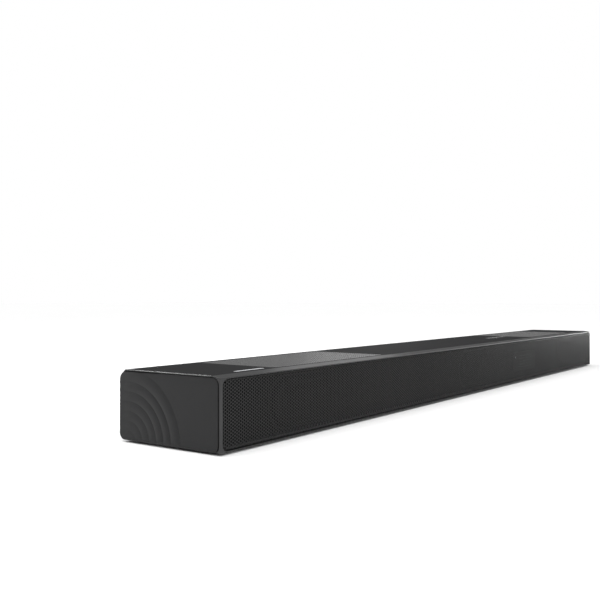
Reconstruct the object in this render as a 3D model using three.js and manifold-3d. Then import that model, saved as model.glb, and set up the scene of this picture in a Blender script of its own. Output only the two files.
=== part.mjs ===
// Soundbar with three front drivers, two up-firing drivers, rear sockets and four top keys.
// Millimetres, +Z up. The origin is the bottom centre of the bar, where its feet stand.
// X runs along the bar, the grille faces -Y and the sockets face +Y.
import * as THREE from 'three';
import { mergeVertices } from 'three/addons/utils/BufferGeometryUtils.js';
import Module from 'manifold-3d';

const wasm = await Module();
wasm.setup();

// Driving dimensions of the housing
const LENGTH = 1000;
const DEPTH = 113;
const BODY_HEIGHT = 59.5;
const FOOT_STAND = 2;
const WALL = 2.5;
const GAP = 0.3;
const CORNER_R = 1.5;
const REAR_TOP_R = 9.5;
const REAR_LOW_R = 6;
const FRONT_R = 1.2;
const STRIP_DEPTH = 9;
const STRIP_DROP = 1.5;
const TRAY_WALL_TOP = 12;
const COVER_SKIRT_LOW = 49;

// End panels, framed by the cover and the front frame, and flush with the housing behind and below
const PANEL_THICK = 2;
const PANEL_SINK = 0.8;
const PANEL_TOP_INSET = 1.7;
const PANEL_FRONT_INSET = 2.3;
const PANEL_GAP = 0.5;
const PANEL_FRONT_R = 6;
const RIPPLE_PITCH = 8.2;
const RIPPLE_COUNT = 7;
const RIPPLE_HEIGHT = 0.6;
const RIPPLE_FROM_REAR = 11;
const RIPPLE_MARGIN = 0.6;
const RIPPLE_SIDES = 20;

// Front grille and the frame around it
const GRILLE_HALF = 497;
const GRILLE_LOW = 3.4;
const GRILLE_HIGH = 58.7;
const GRILLE_R = 5.4;
const GRILLE_THICK = 0.8;
const GRILLE_GAP = 0.4;
const GRILLE_SINK = 0.2;
const FRAME_OPENING_HALF = 493;
const FRAME_OPENING_LOW = 5.5;
const FRAME_OPENING_HIGH = 57;
const FRAME_OPENING_R = 3;
const FRAME_LEDGE = 1.3;

// Perforated inserts of the top, over the up-firing drivers
const HEIGHT_GRILLE_X = 320;
const HEIGHT_GRILLE_LENGTH = 190;
const HEIGHT_GRILLE_WIDTH = 88;
const HEIGHT_GRILLE_R = 6;
const HEIGHT_GRILLE_THICK = 1.1;
const HEIGHT_GRILLE_SINK = 0.1;
const HEIGHT_LEDGE = 3;

// Drivers: oval, with their long axis along the bar
const FLANGE_R = 23;
const BASKET_HOLE_R = 20;
const OVAL_STRETCH = 25;
const HEIGHT_TILT = THREE.MathUtils.degToRad(15);
const HEIGHT_DRIVER_X = 275;
const FRONT_DRIVER_X = 383;
const DRIVER_SIDES = 12;
const BAFFLE_THICK = 2.5;
const DISPLAY = { x: 170, z: 30, width: 90, height: 26, front: -54.6, rim: 2 };

// Sockets, power inlet, keys and wall hangers
const RECESS = { x0: -95, x1: 35, high: 42, front: 36.2, trayFront: 38 };
const CHEEK = 2;
const INLET = { x: 160, z: 30, width: 30, height: 18 };
const INLET_POCKET = { width: 46, low: 16, high: 43, front: 38 };
const KEY_X = [155, 172, 189, 206];
const KEY_Y = -6.5;
const KEY_SIZE = { length: 11.4, width: 8.4, proud: 0.4 };
const HANGER_X = 400;
const HANGER_Z = 34;
const HANGER = { width: 34, height: 22, thick: 1.4, sink: 0.2 };
const KEYHOLE = { entry: 9.2, slot: 4.8 };

// Tray: feet, screw posts and vents under the power board
const FOOT = { x: 410, y: 36, length: 40, width: 12, sink: 1 };
const SCREW_POSTS = [[-482, 42], [-200, 42], [220, 42], [482, 42], [-200, -38], [200, -38]];
const SCREW_POST_R = 4;
const COUNTERBORE = { radius: 3.2, depth: 1.6 };
const VENT = { count: 8, first: 116, pitch: 10, width: 3, front: -24, rear: 6 };

// Circuit boards
const BOARD_LOW = 12;
const BOARD_THICK = 1.6;
const STANDOFF_INSET = 5;
const STANDOFF_R = 3;

const HALF_L = LENGTH / 2;
const HALF_D = DEPTH / 2;
const LOW = FOOT_STAND;
const HIGH = FOOT_STAND + BODY_HEIGHT;
const FLOOR_TOP = LOW + WALL;
const ROOF_LOW = HIGH - WALL;
const COVER_FRONT = -HALF_D + STRIP_DEPTH;
const MID_Z = (FLOOR_TOP + ROOF_LOW) / 2;
const FAR = 2 * LENGTH;
const ARC_STEPS = 3;
const SIDE_ARC_STEPS = 4;
const HOLE_ARC_STEPS = 6;

// ---- Solids ----

// A closed manifold from a three.js geometry, turned right side out.
function solid(geometry) {
  const bare = new THREE.BufferGeometry();
  bare.setAttribute('position', geometry.attributes.position.clone());
  if (geometry.index) {
    bare.setIndex(geometry.index.clone());
  }
  const merged = mergeVertices(bare, 1e-4);
  const place = merged.attributes.position;
  const index = merged.index.array;
  const triangles = [];
  const corners = [new THREE.Vector3(), new THREE.Vector3(), new THREE.Vector3()];
  let volume = 0;
  for (let i = 0; i < index.length; i += 3) {
    const [a, b, c] = [index[i], index[i + 1], index[i + 2]];
    if (a === b || b === c || c === a) {
      continue;
    }
    triangles.push([a, b, c]);
    corners.forEach((corner, k) => corner.fromBufferAttribute(place, [a, b, c][k]));
    volume += corners[0].dot(corners[1].clone().cross(corners[2]));
  }
  if (volume < 0) {
    triangles.forEach((triangle) => triangle.reverse());
  }
  return new wasm.Manifold(new wasm.Mesh({
    numProp: 3,
    vertProperties: new Float32Array(place.array),
    triVerts: new Uint32Array(triangles.flat()),
  }));
}

// A three.js geometry from a manifold.
function geometryOf(body) {
  const mesh = body.getMesh();
  const geometry = new THREE.BufferGeometry();
  geometry.setAttribute('position', new THREE.BufferAttribute(mesh.vertProperties, 3));
  geometry.setIndex(new THREE.BufferAttribute(mesh.triVerts, 1));
  geometry.computeVertexNormals();
  return geometry;
}

function box(x0, x1, y0, y1, z0, z1) {
  const geometry = new THREE.BoxGeometry(x1 - x0, y1 - y0, z1 - z0);
  return solid(geometry.translate((x0 + x1) / 2, (y0 + y1) / 2, (z0 + z1) / 2));
}

// An upright cylinder from z0 to z1.
function post(x, y, radius, z0, z1, sides = 8) {
  const geometry = new THREE.CylinderGeometry(radius, radius, z1 - z0, sides);
  return solid(geometry.rotateX(Math.PI / 2).translate(x, y, (z0 + z1) / 2));
}

function extruded(shape, depth, curveSegments = ARC_STEPS) {
  return new THREE.ExtrudeGeometry(shape, { depth, bevelEnabled: false, curveSegments });
}

// A plan-view shape raised from z0 to z1.
function planPlate(shape, z0, z1) {
  return solid(extruded(shape, z1 - z0).translate(0, 0, z0));
}

// A front-view shape (across, up) from y0 back to y1.
function frontPlate(shape, y0, y1, arcSteps = ARC_STEPS) {
  return solid(extruded(shape, y1 - y0, arcSteps).rotateX(Math.PI / 2).translate(0, y1, 0));
}

// A side-view shape (front to back, up) from x0 to x1.
function sidePlate(shape, x0, x1) {
  return solid(extruded(shape, x1 - x0, SIDE_ARC_STEPS)
    .rotateX(Math.PI / 2)
    .rotateZ(Math.PI / 2)
    .translate(x0, 0, 0));
}

// A rectangle whose corners have their own radii, from low-left anticlockwise.
function roundedOutline(a0, a1, b0, b1, radii) {
  const [lowLeft, lowRight, highRight, highLeft] = radii;
  const shape = new THREE.Shape();
  shape.moveTo(a0 + lowLeft, b0);
  shape.absarc(a1 - lowRight, b0 + lowRight, lowRight, -Math.PI / 2, 0);
  shape.absarc(a1 - highRight, b1 - highRight, highRight, 0, Math.PI / 2);
  shape.absarc(a0 + highLeft, b1 - highLeft, highLeft, Math.PI / 2, Math.PI);
  shape.absarc(a0 + lowLeft, b0 + lowLeft, lowLeft, Math.PI, 1.5 * Math.PI);
  return shape;
}

function roundedRect(centreA, centreB, width, height, radius) {
  const radii = [radius, radius, radius, radius];
  return roundedOutline(centreA - width / 2, centreA + width / 2, centreB - height / 2,
    centreB + height / 2, radii);
}

function polygon(points) {
  return new THREE.Shape(points.map(([a, b]) => new THREE.Vector2(a, b)));
}

// A turned profile (radius, height) about Z, with no corner on the Y axis.
function turned(profile, segments) {
  const points = profile.map(([radius, height]) => new THREE.Vector2(radius, height));
  return new THREE.LatheGeometry(points, segments, Math.PI / segments).rotateX(Math.PI / 2);
}

// A turned profile widened along X into a racetrack, round again near the axis.
function racetrack(profile) {
  const geometry = turned(profile, DRIVER_SIDES);
  const place = geometry.attributes.position;
  const roundBelow = 9.9;
  const fullAbove = 16;
  for (let i = 0; i < place.count; i += 1) {
    const x = place.getX(i);
    const radius = Math.hypot(x, place.getY(i));
    const share = THREE.MathUtils.clamp((radius - roundBelow) / (fullAbove - roundBelow), 0, 1);
    place.setX(i, x + Math.sign(x) * share * OVAL_STRETCH);
  }
  return solid(geometry);
}

// ---- Finishes ----

const satinBlack = { color: 0x2a2b2d, roughness: 0.42, metalness: 0 };
const matteBlack = { color: 0x232426, roughness: 0.6, metalness: 0 };
const grilleSteel = { color: 0x2b2b2c, roughness: 0.45, metalness: 0.4 };
const plainSteel = { color: 0x8d9196, roughness: 0.35, metalness: 1 };
const rubber = { color: 0x161616, roughness: 0.85, metalness: 0 };
const paper = { color: 0x1b1b1d, roughness: 0.75, metalness: 0 };
const board = { color: 0x1d4a32, roughness: 0.5, metalness: 0 };
const smoked = { color: 0x101214, roughness: 0.12, metalness: 0 };

const soundbar = new THREE.Group();

function part(name, body, finish, parent = soundbar) {
  const mesh = new THREE.Mesh(geometryOf(body), new THREE.MeshStandardMaterial(finish));
  mesh.name = name;
  parent.add(mesh);
  return mesh;
}

// ---- Housing ----

const silhouette = roundedOutline(-HALF_D, HALF_D, LOW, HIGH, [FRONT_R, REAR_LOW_R, REAR_TOP_R, FRONT_R]);
const hollow = roundedOutline(-HALF_D + WALL, HALF_D - WALL, FLOOR_TOP, ROOF_LOW,
  [FRONT_R, REAR_LOW_R - WALL, REAR_TOP_R - WALL, FRONT_R]);
const footprint = planPlate(roundedRect(0, 0, LENGTH, DEPTH, CORNER_R), -1, HIGH + 1);
const sleeve = sidePlate(silhouette, -HALF_L, HALF_L)
  .subtract(sidePlate(hollow, -FAR, FAR))
  .intersect(footprint);

function endPanelOutline(grow) {
  const rearTop = REAR_TOP_R - PANEL_TOP_INSET + grow;
  const rearLow = REAR_LOW_R + grow;
  const front = PANEL_FRONT_R + grow;
  return roundedOutline(-HALF_D + PANEL_FRONT_INSET - grow, HALF_D + grow, LOW - grow,
    HIGH - PANEL_TOP_INSET + grow, [front, rearLow, rearTop, front]);
}

const panelOuter = HALF_L - PANEL_SINK;
const panelInner = panelOuter - PANEL_THICK;
const endPockets = sidePlate(endPanelOutline(PANEL_GAP), panelInner - GAP, FAR)
  .add(sidePlate(endPanelOutline(PANEL_GAP), -FAR, -panelInner + GAP));

// A stretch of the sleeve's wall, with the seats of the end panels cut out.
function shell(yLow, zLow, zHigh) {
  return sleeve.intersect(box(-FAR, FAR, yLow, FAR, zLow, zHigh)).subtract(endPockets);
}

function heightOutline(side, grow) {
  return roundedRect(side * HEIGHT_GRILLE_X, 0, HEIGHT_GRILLE_LENGTH + 2 * grow,
    HEIGHT_GRILLE_WIDTH + 2 * grow, HEIGHT_GRILLE_R + grow);
}

const heightGrilleTop = HIGH - HEIGHT_GRILLE_SINK;
const heightGrilleLow = heightGrilleTop - HEIGHT_GRILLE_THICK;

function topCover() {
  let body = shell(COVER_FRONT, COVER_SKIRT_LOW, FAR);
  for (const side of [-1, 1]) {
    body = body.subtract(planPlate(heightOutline(side, GAP), heightGrilleLow - GAP, FAR));
    body = body.subtract(planPlate(heightOutline(side, -HEIGHT_LEDGE), 0, FAR));
  }
  for (const x of KEY_X) {
    const hole = roundedRect(x, KEY_Y, KEY_SIZE.length + 2 * GAP, KEY_SIZE.width + 2 * GAP, 2);
    body = body.subtract(planPlate(hole, 0, FAR));
  }
  return body;
}

function bottomTray() {
  let body = shell(COVER_FRONT, 0, TRAY_WALL_TOP);
  for (const [x, y] of SCREW_POSTS) {
    body = body.add(post(x, y, SCREW_POST_R, LOW + 1, ROOF_LOW - GAP));
    body = body.subtract(post(x, y, COUNTERBORE.radius, 0, LOW + COUNTERBORE.depth));
  }
  for (const x of [-FOOT.x, FOOT.x]) {
    for (const y of [-FOOT.y, FOOT.y]) {
      const seat = roundedRect(x, y, FOOT.length + 2 * GAP, FOOT.width + 2 * GAP, FOOT.width / 2 + GAP);
      body = body.subtract(planPlate(seat, 0, LOW + FOOT.sink));
    }
  }
  for (let slot = 0; slot < VENT.count; slot += 1) {
    const x = VENT.first + slot * VENT.pitch;
    body = body.subtract(box(x, x + VENT.width, VENT.front, VENT.rear, 0, FLOOR_TOP + 1));
  }
  return body.subtract(box(RECESS.x0, RECESS.x1, RECESS.trayFront, FAR, 0, FAR));
}

function rearPanel() {
  const plateLow = TRAY_WALL_TOP + GAP;
  const wallMiddle = HALF_D - WALL / 2;
  const trayInside = HALF_D - REAR_LOW_R - GAP;
  let body = shell(HALF_D - WALL, plateLow, COVER_SKIRT_LOW - GAP);
  const { x0, x1, high, front } = RECESS;
  const hood = box(x0 - CHEEK, x1 + CHEEK, front - CHEEK, wallMiddle, plateLow, high + CHEEK)
    .add(box(x0 - CHEEK, x1 + CHEEK, front - CHEEK, trayInside, FLOOR_TOP + GAP, plateLow + 1));
  body = body.add(hood).subtract(box(x0, x1, 0, FAR, 0, high));
  const half = INLET_POCKET.width / 2;
  const pocket = box(INLET.x - half - CHEEK, INLET.x + half + CHEEK, INLET_POCKET.front - CHEEK,
    wallMiddle, INLET_POCKET.low - CHEEK, INLET_POCKET.high + CHEEK);
  body = body.add(pocket).subtract(box(INLET.x - half, INLET.x + half, INLET_POCKET.front, FAR,
    INLET_POCKET.low, INLET_POCKET.high));
  const inletHole = roundedRect(INLET.x, INLET.z, INLET.width + 2 * GAP, INLET.height + 2 * GAP, 3);
  body = body.subtract(frontPlate(inletHole, 0, HALF_D));
  for (const x of [-HANGER_X, HANGER_X]) {
    const seat = roundedRect(x, HANGER_Z, HANGER.width + 2 * GAP, HANGER.height + 2 * GAP, 3);
    const window = roundedRect(x, HANGER_Z, HANGER.width - 12, HANGER.height - 4, 3);
    body = body.subtract(frontPlate(seat, HALF_D - HANGER.thick - 2 * GAP, FAR));
    body = body.subtract(frontPlate(window, 0, FAR));
  }
  return body;
}

function frontFrame() {
  const opening = roundedOutline(-GRILLE_HALF - GRILLE_GAP, GRILLE_HALF + GRILLE_GAP,
    GRILLE_LOW - GRILLE_GAP, GRILLE_HIGH + GRILLE_GAP, Array(4).fill(GRILLE_R + GRILLE_GAP));
  const inner = roundedOutline(-FRAME_OPENING_HALF, FRAME_OPENING_HALF, FRAME_OPENING_LOW,
    FRAME_OPENING_HIGH, Array(4).fill(FRAME_OPENING_R));
  const ledge = -HALF_D + FRAME_LEDGE;
  const slope = polygon([[-FAR, HIGH - STRIP_DROP - (FAR - HALF_D) * STRIP_DROP / STRIP_DEPTH],
    [-HALF_D + STRIP_DEPTH, HIGH], [-HALF_D + STRIP_DEPTH, FAR], [-FAR, FAR]]);
  return sidePlate(silhouette, -HALF_L, HALF_L)
    .intersect(footprint)
    .intersect(box(-FAR, FAR, -FAR, COVER_FRONT - GAP, 0, FAR))
    .subtract(frontPlate(opening, -FAR, ledge))
    .subtract(frontPlate(inner, -FAR, 0))
    .subtract(sidePlate(slope, -FAR, FAR))
    .subtract(endPockets);
}

// Rounded rings around a point near the rear low corner, standing out of the panel.
function ripples() {
  const profile = [];
  const steps = 3 * RIPPLE_COUNT;
  for (let i = 0; i <= steps; i += 1) {
    const radius = i / steps * RIPPLE_COUNT * RIPPLE_PITCH;
    const crest = (1 - Math.cos(2 * Math.PI * radius / RIPPLE_PITCH)) / 2;
    profile.push([radius, 0.02 + RIPPLE_HEIGHT * crest]);
  }
  profile.push([RIPPLE_COUNT * RIPPLE_PITCH, -0.5], [0, -0.5]);
  return solid(turned(profile, RIPPLE_SIDES).rotateY(-Math.PI / 2)
    .translate(-panelOuter, HALF_D - RIPPLE_FROM_REAR, LOW));
}

function leftEndPanel() {
  const plate = sidePlate(endPanelOutline(0), -panelOuter, -panelInner);
  const within = sidePlate(endPanelOutline(-RIPPLE_MARGIN), -HALF_L, -panelInner);
  return plate.add(ripples().intersect(within));
}

part('top_cover', topCover(), satinBlack);
part('bottom_tray', bottomTray(), matteBlack);
part('rear_panel', rearPanel(), matteBlack);
part('front_frame', frontFrame(), satinBlack);
const endPanel = leftEndPanel();
part('left_end_panel', endPanel, satinBlack);
part('right_end_panel', endPanel.mirror([1, 0, 0]), satinBlack);

const grilleOutline = roundedOutline(-GRILLE_HALF, GRILLE_HALF, GRILLE_LOW, GRILLE_HIGH,
  Array(4).fill(GRILLE_R));
const grilleFront = -HALF_D + GRILLE_SINK;
part('front_grille', frontPlate(grilleOutline, grilleFront, grilleFront + GRILLE_THICK), grilleSteel);
for (const [name, side] of [['left_height_grille', -1], ['right_height_grille', 1]]) {
  part(name, planPlate(heightOutline(side, 0), heightGrilleLow, heightGrilleTop), grilleSteel);
}

// ---- Drivers ----

// Each profile is (radius, height), height forward from the back of the mounting flange.
const basketProfile = [[10.5, -15.5], [15.5, -15.5], [20, -1], [20, 0], [FLANGE_R, 0], [FLANGE_R, 2],
  [19, 2], [19, -1], [14.4, -14], [10.5, -14], [10.5, -15.5]];
const magnetProfile = [[0, -31], [14, -31], [14, -28.5], [17, -28.5], [17, -19], [14.5, -19],
  [14.5, -15.9], [9.8, -15.9], [9.8, -26], [7.4, -26], [7.4, -15.9], [0, -15.9]];
const coneProfile = [[8, -22], [8.9, -22], [8.9, -10.6], [14.6, -0.6], [16.3, 0.8], [16.3, 3.8],
  [15.5, 3.8], [14.2, 0.4], [8.9, -9], [0, -6.4], [0, -7.6], [8, -10], [8, -22]];

function surroundProfile() {
  const [centre, outer, inner, low, steps] = [18.4, 1.8, 1.1, 2.3, 3];
  const roll = (radius, from, to) => Array.from({ length: steps + 1 }, (_, i) => {
    const angle = from + (to - from) * i / steps;
    return [centre + radius * Math.cos(angle), low + 0.7 + radius * Math.sin(angle)];
  });
  const ring = [[22, low], [22, low + 0.7], ...roll(outer, 0, Math.PI), ...roll(inner, Math.PI, 0),
    [centre + inner, low]];
  return [...ring, ring[0]];
}

function driver(name, x, y, z, tilt) {
  const group = new THREE.Group();
  group.position.set(x, y, z);
  group.rotation.x = tilt;
  part(`${name}_basket`, racetrack(basketProfile), plainSteel, group);
  part(`${name}_magnet`, solid(turned(magnetProfile, DRIVER_SIDES)), plainSteel, group);
  part(`${name}_surround`, racetrack(surroundProfile()), rubber, group);
  part(`${name}_cone`, racetrack(coneProfile), paper, group);
  soundbar.add(group);
}

const baffleFront = COVER_FRONT;
const driverFront = baffleFront - GAP;
const heightDriver = { y: 4, z: 45 };
driver('left_driver', -FRONT_DRIVER_X, driverFront, MID_Z, Math.PI / 2);
driver('centre_driver', 0, driverFront, MID_Z, Math.PI / 2);
driver('right_driver', FRONT_DRIVER_X, driverFront, MID_Z, Math.PI / 2);
driver('left_height_driver', -HEIGHT_DRIVER_X, heightDriver.y, heightDriver.z, HEIGHT_TILT);
driver('right_height_driver', HEIGHT_DRIVER_X, heightDriver.y, heightDriver.z, HEIGHT_TILT);

const basketHole = 2 * (BASKET_HOLE_R + GAP);

function driverBaffle() {
  const plate = roundedRect(0, MID_Z, 2 * FRAME_OPENING_HALF - 6, ROOF_LOW - FLOOR_TOP - 2 * GAP, 2);
  let body = frontPlate(plate, baffleFront, baffleFront + BAFFLE_THICK);
  for (const x of [-FRONT_DRIVER_X, 0, FRONT_DRIVER_X]) {
    const hole = roundedRect(x, MID_Z, basketHole + 2 * OVAL_STRETCH, basketHole, basketHole / 2);
    body = body.subtract(frontPlate(hole, -HALF_D, 0, HOLE_ARC_STEPS));
  }
  const window = roundedRect(DISPLAY.x, DISPLAY.z, DISPLAY.width - 6, DISPLAY.height - 6, 2);
  return body.subtract(frontPlate(window, -HALF_D, 0));
}
part('driver_baffle', driverBaffle(), matteBlack);

// A tilted plate on two legs that stand on the tray.
function heightBaffle(side) {
  const [halfLength, halfWidth, legHalf, legThick] = [60, 28, 12, 2];
  const x = side * HEIGHT_DRIVER_X;
  const plateShape = roundedRect(0, 0, 2 * halfLength, 2 * halfWidth, 4);
  const hole = roundedRect(0, 0, basketHole + 2 * OVAL_STRETCH, basketHole, basketHole / 2);
  plateShape.holes.push(new THREE.Path(hole.getPoints(HOLE_ARC_STEPS)));
  const plate = extruded(plateShape, BAFFLE_THICK).translate(0, 0, -BAFFLE_THICK - GAP)
    .rotateX(HEIGHT_TILT).translate(x, heightDriver.y, heightDriver.z);
  const rise = Math.tan(HEIGHT_TILT) * legHalf;
  const top = heightDriver.z - 1.6;
  const [legFront, legRear] = [heightDriver.y - legHalf, heightDriver.y + legHalf];
  const leg = polygon([[legFront, FLOOR_TOP + GAP], [legRear, FLOOR_TOP + GAP], [legRear, top + rise],
    [legFront, top - rise]]);
  return solid(plate)
    .add(sidePlate(leg, x - halfLength, x - halfLength + legThick))
    .add(sidePlate(leg, x + halfLength - legThick, x + halfLength));
}
part('left_height_baffle', heightBaffle(-1), matteBlack);
part('right_height_baffle', heightBaffle(1), matteBlack);

// ---- Display ----

const displayLens = frontPlate(roundedRect(DISPLAY.x, DISPLAY.z, DISPLAY.width, DISPLAY.height, 3),
  DISPLAY.front, baffleFront - GAP)
  .subtract(frontPlate(roundedRect(DISPLAY.x, DISPLAY.z, DISPLAY.width - 2 * DISPLAY.rim,
    DISPLAY.height - 2 * DISPLAY.rim, 2), DISPLAY.front + DISPLAY.rim, 0));
part('display_window', displayLens, smoked);

const displayBoardFront = baffleFront + BAFFLE_THICK + GAP;
const displayBoardBack = displayBoardFront + BOARD_THICK;
let displayBoard = box(DISPLAY.x - 46, DISPLAY.x + 46, displayBoardFront, displayBoardBack, 12, 48);
for (let digit = 0; digit < 4; digit += 1) {
  const x = DISPLAY.x - 34 + digit * 15;
  displayBoard = displayBoard.add(box(x, x + 10, displayBoardFront - 4, displayBoardBack - 1, 23, 37));
}
part('display_board', displayBoard, board);
const receiverX = DISPLAY.x + 33;
const receiverFront = displayBoardFront - 3.4;
const receiverDome = new THREE.SphereGeometry(2.6, 8, 6).translate(receiverX, receiverFront, 30);
part('ir_receiver', box(receiverX - 3, receiverX + 3, receiverFront, displayBoardFront - GAP, 26, 34)
  .add(solid(receiverDome)), smoked);

// ---- Boards and power ----

const boardTop = BOARD_LOW + BOARD_THICK;
const onBoard = boardTop + GAP;

// A circuit board on round standoffs, with blocks for its chips.
function circuitBoard(x0, x1, y0, y1, chips) {
  let body = box(x0, x1, y0, y1, BOARD_LOW, boardTop);
  for (const x of [x0 + STANDOFF_INSET, x1 - STANDOFF_INSET]) {
    for (const y of [y0 + STANDOFF_INSET, y1 - STANDOFF_INSET]) {
      body = body.add(post(x, y, STANDOFF_R, FLOOR_TOP + GAP, BOARD_LOW + 0.5, 6));
    }
  }
  for (const [x, y, width, depth, height] of chips) {
    body = body.add(box(x, x + width, y, y + depth, boardTop - 0.5, boardTop + height));
  }
  return body;
}

part('main_board', circuitBoard(-100, 70, -14, 34,
  [[-92, -8, 18, 18, 1.6], [-66, -10, 10, 12, 1.2], [30, -8, 12, 16, 2], [50, -4, 12, 12, 8]]), board);
part('power_board', circuitBoard(95, 205, -30, 30,
  [[186, -24, 12, 10, 12], [186, 0, 10, 12, 16], [100, 12, 16, 12, 10]]), board);
part('wireless_module', circuitBoard(-195, -160, -4, 26, [[-190, 2, 24, 18, 2.4]]), board);

const SINK = { x0: -40, x1: 20, front: -10, rear: 14, fins: 7, finPitch: 9.6, finThick: 2.4, finTop: 18 };
let heatSink = box(SINK.x0, SINK.x1, SINK.front, SINK.rear, onBoard, onBoard + 3);
for (let fin = 0; fin < SINK.fins; fin += 1) {
  const x = SINK.x0 + fin * SINK.finPitch;
  heatSink = heatSink.add(box(x, x + SINK.finThick, SINK.front, SINK.rear, onBoard + 2,
    onBoard + SINK.finTop));
}
part('heat_sink', heatSink, plainSteel);

// A steel core with its winding standing out in front and behind.
part('mains_transformer', box(126, 158, -22, 4, onBoard, onBoard + 22)
  .add(box(130, 154, -25, 7, onBoard + 3, onBoard + 19)), plainSteel);
part('reservoir_capacitor', post(172, -12, 9, onBoard, onBoard + 30, 12), smoked);

// ---- Sockets ----

const socketFront = RECESS.front - GAP;
const socketFace = socketFront + 1.2;
const plateBack = socketFront - 1.5;

// A rectangular socket shell, open at the rear, with a contact tongue inside.
function tongueSocket(width, height, depth, tongueWidth, tongueHeight) {
  const wall = 0.6;
  const outer = box(-width / 2, width / 2, -depth, 0, 0, height);
  const inner = box(-width / 2 + wall, width / 2 - wall, -depth + 2, 1, wall, height - wall);
  const tongue = box(-tongueWidth / 2, tongueWidth / 2, -depth + 1, -1.5, (height - tongueHeight) / 2,
    (height + tongueHeight) / 2);
  return outer.subtract(inner).add(tongue);
}

function opticalSocket() {
  const block = box(-5, 5, -13, 0, 0, 10);
  const barrel = box(-3.8, 3.8, -9, 1, 1.2, 8.8);
  const lens = solid(new THREE.CylinderGeometry(1.2, 1.2, 4, 8).translate(0, -8, 5));
  return block.subtract(barrel).add(lens);
}

function jackSocket() {
  const block = box(-4, 4, -12, -2, 0, 8)
    .add(solid(new THREE.CylinderGeometry(3.6, 3.6, 3, 12).translate(0, -1.5, 4)));
  return block.subtract(solid(new THREE.CylinderGeometry(1.8, 1.8, 20, 10).translate(0, 0, 4)));
}

const sockets = [
  { name: 'optical_socket', x: -82, width: 10, height: 10, body: opticalSocket(), finish: matteBlack },
  { name: 'usb_socket', x: -60, width: 14, height: 6.6, body: tongueSocket(14, 6.6, 14, 11, 1.8),
    finish: plainSteel },
  { name: 'aux_socket', x: -38, width: 8, height: 8, body: jackSocket(), finish: matteBlack },
  { name: 'hdmi_in_socket', x: -14, width: 15.2, height: 5.8, body: tongueSocket(15.2, 5.8, 12, 11.6, 1.2),
    finish: plainSteel },
  { name: 'hdmi_out_socket', x: 14, width: 15.2, height: 5.8, body: tongueSocket(15.2, 5.8, 12, 11.6, 1.2),
    finish: plainSteel },
];

let ioPlate = box(RECESS.x0 + GAP, RECESS.x1 - GAP, plateBack, socketFront, FLOOR_TOP + GAP,
  RECESS.high - GAP);
for (const { name, x, width, height, body, finish } of sockets) {
  ioPlate = ioPlate.subtract(box(x - width / 2 - GAP, x + width / 2 + GAP, 0, FAR, onBoard - GAP,
    onBoard + height + GAP));
  part(name, body, finish).position.set(x, socketFace, onBoard);
}
part('io_plate', ioPlate, matteBlack);

// A two-pin appliance inlet: a deep figure-eight cup, with a flange behind the pocket's wall.
function mainsInlet() {
  const back = INLET_POCKET.front;
  const block = frontPlate(roundedRect(INLET.x, INLET.z, INLET.width, INLET.height, 3), back - 22, back + 1)
    .add(box(INLET.x - 19, INLET.x + 19, back - 5, back - 2 - GAP, INLET.z - 11, INLET.z + 11));
  const cup = frontPlate(roundedRect(INLET.x, INLET.z, 18, 9, 4), back - 15, FAR);
  let body = block.subtract(cup);
  for (const x of [INLET.x - 4.3, INLET.x + 4.3]) {
    const pin = new THREE.CylinderGeometry(1.2, 1.2, 14, 8).translate(x, back - 10, INLET.z);
    body = body.add(solid(pin));
  }
  return body;
}
part('mains_inlet', mainsInlet(), matteBlack);

// ---- Keys ----

const KEY_NAMES = ['power_key', 'input_key', 'volume_down_key', 'volume_up_key'];
const keyFlangeLow = 57.2;
const keyBoardTop = 55;
const keyCap = roundedRect(0, 0, KEY_SIZE.length, KEY_SIZE.width, 1.7);
const keyFlange = roundedRect(0, 0, KEY_SIZE.length + 3, KEY_SIZE.width + 3, 2);
const key = planPlate(keyCap, keyFlangeLow, HIGH + KEY_SIZE.proud)
  .add(planPlate(keyFlange, keyFlangeLow, ROOF_LOW - GAP));
let keyBoard = box(KEY_X[0] - 10, KEY_X[3] + 10, KEY_Y - 8, KEY_Y + 8, keyBoardTop - BOARD_THICK,
  keyBoardTop);
KEY_X.forEach((x, i) => {
  part(KEY_NAMES[i], key, satinBlack).position.set(x, KEY_Y, 0);
  keyBoard = keyBoard.add(post(x, KEY_Y, 2, keyBoardTop - 0.5, keyFlangeLow - 0.9));
});
part('key_board', keyBoard, board);

// ---- Feet and wall hangers ----

const foot = planPlate(roundedRect(0, 0, FOOT.length, FOOT.width, FOOT.width / 2), 0, LOW + FOOT.sink - GAP);
const FEET = [['front_left_foot', -1, -1], ['front_right_foot', 1, -1], ['rear_left_foot', -1, 1],
  ['rear_right_foot', 1, 1]];
for (const [name, sideX, sideY] of FEET) {
  part(name, foot, rubber).position.set(sideX * FOOT.x, sideY * FOOT.y, 0);
}

const hangerRear = HALF_D - HANGER.sink;
const hangerPlate = frontPlate(roundedRect(0, 0, HANGER.width, HANGER.height, 2.7), -HANGER.thick, 0);
const keyhole = frontPlate(roundedRect(0, -3, KEYHOLE.entry, KEYHOLE.entry, 4.5), -FAR, FAR)
  .add(frontPlate(roundedRect(0, 1.5, KEYHOLE.slot, 12, 2.3), -FAR, FAR));
for (const [name, x] of [['left_wall_hanger', -HANGER_X], ['right_wall_hanger', HANGER_X]]) {
  part(name, hangerPlate.subtract(keyhole), plainSteel).position.set(x, hangerRear, HANGER_Z);
}

export default soundbar;
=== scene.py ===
"""A soundbar with a perforated front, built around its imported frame.

Metres, +Z up, origin at the bottom centre. The grille faces -Y and the sockets face +Y.
"""

import math

import bmesh
import bpy
from bpy.props import FloatProperty, FloatVectorProperty, IntProperty, PointerProperty
from bpy.types import Operator, Panel, PropertyGroup
from mathutils import Matrix, Vector


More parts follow.
